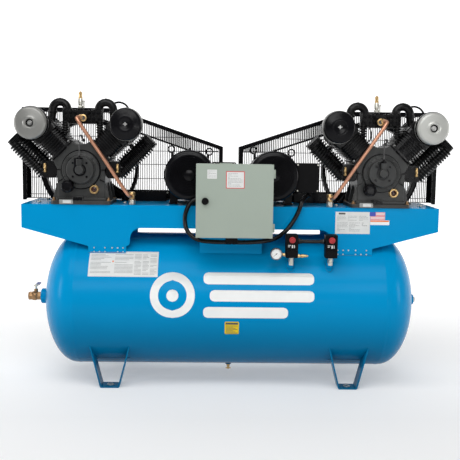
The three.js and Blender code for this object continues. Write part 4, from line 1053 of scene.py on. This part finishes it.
def switch(tag, x):
    b = B()
    b.plateY(rrect(x - 26.5, x + 26.5, 597.3, 699.7, 5), -297, -248.3)
    b.obj("switch_housing_" + tag, "plastic", bevel=2.2, seg=3, slot="black_plastic", rep=("pressure_switch_" + tag,))
    b = B()
    # cover, stepped in at the bottom, with side clips
    b.plateY(rrect(x - 25, x + 25, 634, 698, 4), -304, -296.5)
    b.plateY(rrect(x - 23, x + 23, 600, 632, 4), -303, -296.5)
    for sx in (-1, 1):
        b.box(x + sx * 26.4 - 1.2, x + sx * 26.4 + 0.2 * sx + 1.0, -290, -262, 640, 668)
    b.obj("switch_cover_" + tag, "plastic", bevel=1.6, seg=3)
    b = B()
    b.box(x - 18, x - 6, -304.6, -303.8, 652, 655)
    b.box(x - 18, x - 10, -304.6, -303.8, 646, 649)
    b.box(x - 2, x + 4, -304.6, -303.8, 642, 655)
    b.box(x + 8, x + 11, -304.6, -303.8, 642, 655)
    b.obj("switch_marks_" + tag, "paper")
    b = B()
    b.hexb("Z", (x, -270, 0), 12.4, 578, 590)
    b.cyl("Z", (x, -270, 0), 10.4, 589, 598, 28, 0.8)
    b.cyl("Z", (x, -270, 0), 10.6, 562.5, 578.5, 28, 1.4)
    b.tube([(x, -270, 572), (x, -238.6, 572)], 9, 20, smooth=0)
    b.obj("switch_nipple_" + tag, "zinc", bevel=0.6)
    b = B()
    b.lathe([(0, -304.3), (13.5, -304.3), (13.5, -311), (12.2, -313), (0, -313)], "Y", (x, 0, 677), 48)
    b.at(x, 0, 677, ry=-0.55)
    b.plateY(rrect(-12.4, 12.4, -3.6, 3.6, 3), -317, -311)
    b.obj("switch_dial_" + tag, "red", body="switch_knob_" + tag, bevel=1.0, seg=3, slot="red_plastic", rep=("switch_knob_" + tag,))


switch("left", 262)
switch("right", 433)
b = B()
b.tube([(289, -272, 668), (300, -272, 668), (330, -273, 667), (365, -273, 667), (395, -272, 668), (406, -272, 668)], 8, 18)
for x in (290, 396):
    b.hexb("X", (0, -272, 668), 12.5, x, x + 9)
    b.cyl("X", (0, -272, 668), 10, x - 1.4 if x == 290 else x - 9, x + 18 if x == 290 else x + 10.4, 24, 1)
b.obj("switch_link", "hose", bevel=0.5, angle=45)
b = B()
b.hexb("X", (0, -272, 604), 8.5, 289, 300)
b.lathe([(0, 286), (5.5, 286), (5.5, 303), (8, 304), (8, 316), (6.5, 318), (6.5, 326), (4.5, 328), (4.5, 333.5), (0, 334)], "X", (0, -272, 604), 28)
b.torus((329, -272, 604), 7.5, 1.1, "Z", 24, 8)
b.obj("relief", "brass", bevel=0.4, slot="brass")
# gauge: case, dial, ticks and needle under a domed lens ring
gx, gz = 194, 616
b = B()
b.lathe([(0, -288), (18, -288), (24, -290), (26, -293), (26, -310), (24.8, -312), (22.6, -312), (22.4, -309), (0, -309)], "Y", (gx, 0, gz), 64)
b.obj("gauge_case", "black", angle=40, slot="gauge_case", rep=("pressure_gauge",))
b = B()
b.lathe([(22.2, -309.2), (22.9, -311.6), (24.6, -311.6), (25.4, -309.4), (25.4, -306), (26.1, -306), (26.1, -310.2), (25.1, -312), (22.4, -312), (21.6, -309.2), (22.2, -309.2)], "Y", (gx, 0, gz), 64)
b.obj("gauge_bezel", "steel", angle=40)
b = B()
b.lathe([(0, -309.7), (22.3, -309.7), (22.3, -309), (0, -309)], "Y", (gx, 0, gz), 56)
b.obj("gauge_dial", "white")
b = B()
for i in range(25):
    a = math.radians(225 - 270 * i / 24)
    L = 4.6 if i % 4 == 0 else 2.4
    b.at(gx, 0, gz, ry=-a)
    b.box(20.6 - L, 20.6, -309.95, -309.6, -0.35 - 0.2 * (i % 4 == 0), 0.35 + 0.2 * (i % 4 == 0))
b.at(gx, 0, gz, ry=-math.radians(222))
b.loft([[(-5, -310.5, -1.2), (-5, -310.2, -1.2), (-5, -310.2, 1.2), (-5, -310.5, 1.2)], [(15.5, -310.5, -0.3), (15.5, -310.2, -0.3), (15.5, -310.2, 0.3), (15.5, -310.5, 0.3)]])
b.at(gx, 0, gz)
b.cyl("Y", (0, 0, 0), 2.4, -311, -309.6, 20, 0.4)
b.obj("gauge_marks", "ink")
b = B()
b.tube([(gx, -288.5, gz), (gx, -272, gz)], 6, 20, smooth=0)
b.hexb("Y", (gx, 0, gz), 9, -288.5, -280)
b.tube([(gx, -272, gz), (237, -272, 608)], 5.2, 20, smooth=0)
b.hexb("X", (0, -272, 612), 8.5, 205, 215)
b.cyl("Y", (gx, 0, gz), 7.5, -279, -264, 28, 1.5)
b.hexb("X", (0, -272, 608.6), 7.5, 226, 236)
b.obj("gauge_stem", "brass", bevel=0.4)

# motor leads
LEFT = [(-50, -125, 869), (-53, -132, 858), (-80, -176, 846), (-120, -204, 842), (-158, -209, 839), (-184, -212, 818), (-199, -218, 784), (-203, -222, 749), (-195, -232, 711), (-172, -245, 682), (-137, -262, 666), (-81, -275, 662), (-24, -278, 661), (0, -278, 661)]
RIGHT = [(6, -278, 661), (32, -278, 661), (80, -276, 662), (132, -270, 665), (174, -262, 672), (205, -250, 683), (226, -234, 697), (248, -225, 716), (273, -217, 750), (294, -213, 790), (309, -205, 830), (326, -172, 850), (345, -132, 860), (349, -125, 869)]


def lead(tag, pts, x, cx0, cx1):
    b = B()
    # ribbed jacket
    path = spline(pts, 14)
    n = len(path)
    b.tube([tuple(p) for p in path], lambda t: 10.0 - 0.55 * (0.5 + 0.5 * math.cos(2 * math.pi * t * 95)), 16, smooth=0)
    b.obj("lead_" + tag, "hose", angle=70, slot="black_hose", rep=("motor_conduits",))
    b = B()
    b.hexb("Z", (x, -125, 0), 14, 862, 869)
    b.cyl("Z", (x, -125, 0), 13, 868.6, 871.7, 28, 0.6)
    b.lathe([(10.2, 852), (12, 853), (12.6, 862.2), (10.2, 862.2), (10.2, 852)], "Z", (x, -125, 0), 28)
    b.obj("lead_nut_" + tag, "black", bevel=0.6)
    b = B()
    if cx0 is None: return
    b.plateY(rrect(cx0, cx1, 655, 679, 5), -291.8, -264.2)
    for xx in (cx0 + 6, cx1 - 6):
        b.cyl("Y", (xx, 0, 675), 2.6, -293.6, -291.4, 12, 0.5)
    b.obj("lead_clamp_" + tag, "black", bevel=1.4, seg=3)


lead("left", LEFT, -50, -26, 28)
lead("right", RIGHT, 349, None, None)


# ------------------------------------------------------------------ labels
def skin(b, rows, lift=0.7):
    # rows of (z, x_left, x_right) laid on the front of the shell
    P, F = [], []
    for z, xa, xb in rows:
        for l in (lift, 0.05):
            y = -math.sqrt(max(0.0, (TR + l) ** 2 - (z - TZ) ** 2))
            P += [(xa, y, z), (xb, y, z)]
    n = len(rows)
    for i in range(n - 1):
        a, c = 4 * i, 4 * (i + 1)
        F += [(a, a + 1, c + 1, c), (a + 2, c + 2, c + 3, a + 3), (a, c, c + 2, a + 2), (a + 1, a + 3, c + 3, c + 1)]
    F += [(0, 2, 3, 1), (4 * n - 4, 4 * n - 3, 4 * n - 1, 4 * n - 2)]
    return b.put(P, F)


def patch(b, x0, x1, z0, z1, lift=0.7, r=0.0, n=None, slant=0.0):
    n = n or max(2, int((z1 - z0) / 7))
    rows = []
    for i in range(n + 1):
        z = z0 + (z1 - z0) * i / n
        e = 0.0
        if r:
            d = min(z - z0, z1 - z)
            if d < r: e = r - math.sqrt(max(0, r * r - (r - d) ** 2))
        rows.append((z, x0 + e + slant * (z - z0), x1 - e + slant * (z - z0)))
    return skin(b, rows, lift)


# tank print: a plain roundel and bars, no lettering
b = B()
cxr, czr, R1, R2 = -252, 428, 97, 62
N = 48
for k in range(N):
    z0, z1 = czr - R1 + 2 * R1 * k / N, czr - R1 + 2 * R1 * (k + 1) / N
    def halfw(z, r): return math.sqrt(max(0.0, r * r - (z - czr) ** 2))
    o0, o1, i0, i1 = halfw(z0, R1), halfw(z1, R1), halfw(z0, R2), halfw(z1, R2)
    if i0 < 1e-6 and i1 < 1e-6:
        skin(b, [(z0, cxr - o0, cxr + o0), (z1, cxr - o1, cxr + o1)])
    else:
        skin(b, [(z0, cxr - o0, cxr - i0), (z1, cxr - o1, cxr - i1)])
        skin(b, [(z0, cxr + i0, cxr + o0), (z1, cxr + i1, cxr + o1)])
for k in range(16):
    z0, z1 = czr - 26 + 52 * k / 16, czr - 26 + 52 * (k + 1) / 16
    skin(b, [(z0, cxr - halfw(z0, 26), cxr + halfw(z0, 26)), (z1, cxr - halfw(z1, 26), cxr + halfw(z1, 26))])
for i, (xa, xb) in enumerate(((-118, 364), (-90, 364), (-118, 250))):
    z1 = 525 - i * 72
    patch(b, xa, xb, z1 - 48, z1, r=20, n=14)
b.obj("tank_print", "white", angle=80)
b = B(); patch(b, -621, -318, 504, 603); b.obj("tank_label", "paper", angle=80)
b = B(); patch(b, -618, -470, 598, 603, 0.85, n=2); patch(b, -519, -513, 562, 568, 0.9, n=2); b.obj("tank_label_line", "orange", angle=80)
b = B()
st = 7
for xa, xb in ((-613, -525), (-508, -428), (-422, -392), (-386, -358), (-353, -324)):
    z = 592
    while z > 512:
        st = (st * 1103515245 + 12345) % 2147483648
        e = xb - (xb - xa) * 0.5 * (st / 2147483648 if st % 3 == 0 else 0)
        patch(b, xa, e, z - 1.6, z, 0.85, n=1)
        z -= 5.2 + (4.5 if st % 5 == 0 else 0)
b.obj("tank_label_print", "inklight", angle=80)
b = B(); patch(b, -24, 38, 258, 316, r=3, n=12); b.obj("yellow_label", "yellow", angle=80)
b = B()
patch(b, -20, 34, 303, 312, 0.85, n=2)
for i in range(7):
    patch(b, -18, 32 - (i % 3) * 9, 262 + i * 5.6, 264 + i * 5.6, 0.85, n=1)
b.obj("yellow_label_print", "ink", angle=80)

YD = -193.0
plate("deck_label", "paper", 462, 616, 694, 792, YD, "base")
b = B()
b.plateY(rrect(476, 506, 780, 788, 1.5, 3), YD - 0.62, YD)
bars(b, 580, 606, 728, 746, YD - 0.5, 3, 5)
b.obj("deck_label_ink", "ink")
b = B()
bars(b, 470, 608, 752, 776, YD - 0.5, 4, 31, cols=3, gap=8)
bars(b, 470, 572, 704, 746, YD - 0.5, 7, 47, cols=2, gap=6)
b.obj("deck_label_print", "inklight")
plate("deck_sticker_blue", "navy", 613.5, 640, 774, 792, YD - 0.4, "base", 0.3)
plate("deck_sticker_pink", "pink", 617, 682, 756.5, 792, YD, "base", 0.35)
b = B()
for z in (787.5, 781.5, 769, 763):
    b.box(642 if z > 774 else 619, 681, YD - 0.55, YD - 0.3, z - 1.3, z + 1.3)
b.obj("deck_sticker_stripes", "white")
plate("deck_strip", "white", 617, 702, 735, 756, YD, "base", 0.35)
plate("deck_strip_line", "orange", 617, 700, 749, 755, YD - 0.3, "base", 0.25)

# ------------------------------------------------------------------ fixings on the frame
b = B()
for sx in (-1, 1):
    for x in (476, 500, 524, 556, 580, 604):
        for z in (602, 620):
            if (x, z) in ((524, 602), (580, 620)): continue
            b.cyl("Y", (sx * x, 0, z), 3.4, -195.4, -192.6, 14, 0.8)
    for x in (862, 478):
        for y in (-100, 100):
            b.hexb("Z", (sx * x, y, 0), 8, 810.2, 817)
for x in (-95, 115):
    for z in (735, 782):
        b.hexb("Y", (x, 0, z), 8, -199, -193)
b.obj("frame_bolts", "zinc", bevel=0.4)



# ------------------------------------------------------------------ plain floor, light, camera
def sweep():
    me = bpy.data.meshes.new("floor")
    prof = [(-14, 0.0), (3.2, 0.0)]
    for i in range(1, 17):
        a = math.pi / 2 * i / 16
        prof.append((3.2 + 2.4 * math.sin(a), 2.4 * (1 - math.cos(a))))
    prof.append((5.6, 9.0))
    V = [(x, y, z) for y, z in prof for x in (-14, 14)]
    F = [(2 * i, 2 * i + 1, 2 * i + 3, 2 * i + 2) for i in range(len(prof) - 1)]
    me.from_pydata(V, [], F)
    o = bpy.data.objects.new("floor", me)
    bpy.context.scene.collection.objects.link(o)
    me.polygons.foreach_set("use_smooth", [True] * len(me.polygons))
    m = mk("floor_pale", (0.74, 0.74, 0.74), 0.8, spec=0.05, var=0.01, vscale=0.6, bump=0.0)
    nt = m.node_tree
    # painted light: the floor glows, its emission strength rising from 0.16 at the front to 0.80 towards the back, on
    # top of its pale colour
    tc = nt.nodes.new("ShaderNodeTexCoord"); sp = nt.nodes.new("ShaderNodeSeparateXYZ"); mr = nt.nodes.new("ShaderNodeMapRange")
    nt.links.new(tc.outputs["Object"], sp.inputs["Vector"]); nt.links.new(sp.outputs["Y"], mr.inputs["Value"])
    mr.inputs["From Min"].default_value = -0.6; mr.inputs["From Max"].default_value = 3.6; mr.inputs["To Min"].default_value = 0.16; mr.inputs["To Max"].default_value = 0.80
    nt.nodes["Principled BSDF"].inputs["Emission Color"].default_value = (1, 1, 1, 1)
    nt.links.new(mr.outputs["Result"], nt.nodes["Principled BSDF"].inputs["Emission Strength"])
    me.materials.append(m)
    return o


stage_objs = [sweep()]


def area(name, loc, target, sx, sy, power, col=(1, 1, 1)):
    d = bpy.data.lights.new(name, "AREA"); d.shape = "RECTANGLE"; d.size = sx; d.size_y = sy; d.energy = power; d.color = col
    o = bpy.data.objects.new(name, d)
    bpy.context.scene.collection.objects.link(o)
    o.location = loc
    o.rotation_euler = (Vector(target) - Vector(loc)).to_track_quat("-Z", "Y").to_euler()
    stage_objs.append(o)
    return o


area("key_top", (-0.5, -1.9, 3.5), (0, 0, 0.7), 3.4, 1.6, 66)
area("soft_left", (-3.6, -0.9, 1.1), (-0.5, 0, 0.6), 0.9, 1.3, 30)
area("soft_right", (3.6, -1.1, 1.0), (0.5, 0, 0.6), 0.9, 1.3, 26)
area("strip_front", (1.5, -4.3, 0.75), (0.3, 0, 0.5), 0.9, 0.35, 9)
area("front_fill", (-0.4, -5.0, 3.2), (0, 0, 0.7), 3.2, 1.4, 66)

w = bpy.data.worlds.new("studio"); bpy.context.scene.world = w; w.use_nodes = True
nt = w.node_tree
bg = nt.nodes["Background"]
tc = nt.nodes.new("ShaderNodeTexCoord"); sp = nt.nodes.new("ShaderNodeSeparateXYZ"); rp = nt.nodes.new("ShaderNodeValToRGB")
nt.links.new(tc.outputs["Generated"], sp.inputs["Vector"])
mr = nt.nodes.new("ShaderNodeMapRange"); mr.inputs["From Min"].default_value = -1; mr.inputs["From Max"].default_value = 1
nt.links.new(sp.outputs["Z"], mr.inputs["Value"]); nt.links.new(mr.outputs["Result"], rp.inputs["Fac"])
rp.color_ramp.elements[0].position = 0.45; rp.color_ramp.elements[0].color = (0.30, 0.30, 0.30, 1)
rp.color_ramp.elements[1].position = 0.56; rp.color_ramp.elements[1].color = (1, 1, 1, 1)
nt.links.new(rp.outputs["Color"], bg.inputs["Color"])
bg.inputs["Strength"].default_value = 0.26

cd = bpy.data.cameras.new("front_angle"); cam = bpy.data.objects.new("front_angle", cd)
bpy.context.scene.collection.objects.link(cam)
cd.sensor_width = 36.0; cd.lens = 62.44; cd.clip_start = 0.05; cd.clip_end = 60
yaw, pitch, roll = 0.022, 0.110, 0.014
fw = Vector((math.sin(yaw) * math.cos(pitch), math.cos(yaw) * math.cos(pitch), -math.sin(pitch)))
rt = Vector((math.cos(yaw), -math.sin(yaw), 0)); up = rt.cross(fw)
r_, u_ = rt * math.cos(roll) + up * math.sin(roll), -rt * math.sin(roll) + up * math.cos(roll)
cam.matrix_world = Matrix(((r_.x, u_.x, -fw.x, -0.08146), (r_.y, u_.y, -fw.y, -3.6705), (r_.z, u_.z, -fw.z, 1.09248), (0, 0, 0, 1)))
bpy.context.scene.camera = cam
bpy.context.scene.view_settings.view_transform = "Standard"
stage_objs.append(cam)
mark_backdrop(*stage_objs)

# ------------------------------------------------------------------ extents of the visible parts
bpy.context.view_layer.update()
lo, hi = [1e9] * 3, [-1e9] * 3
dg = bpy.context.evaluated_depsgraph_get()
for o in bpy.context.scene.objects:
    if o.type != "MESH" or "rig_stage" in o or o.hide_render: continue
    ev = o.evaluated_get(dg)
    for c in ev.bound_box:
        q = o.matrix_world @ Vector(c)
        for i in range(3): lo[i] = min(lo[i], q[i]); hi[i] = max(hi[i], q[i])
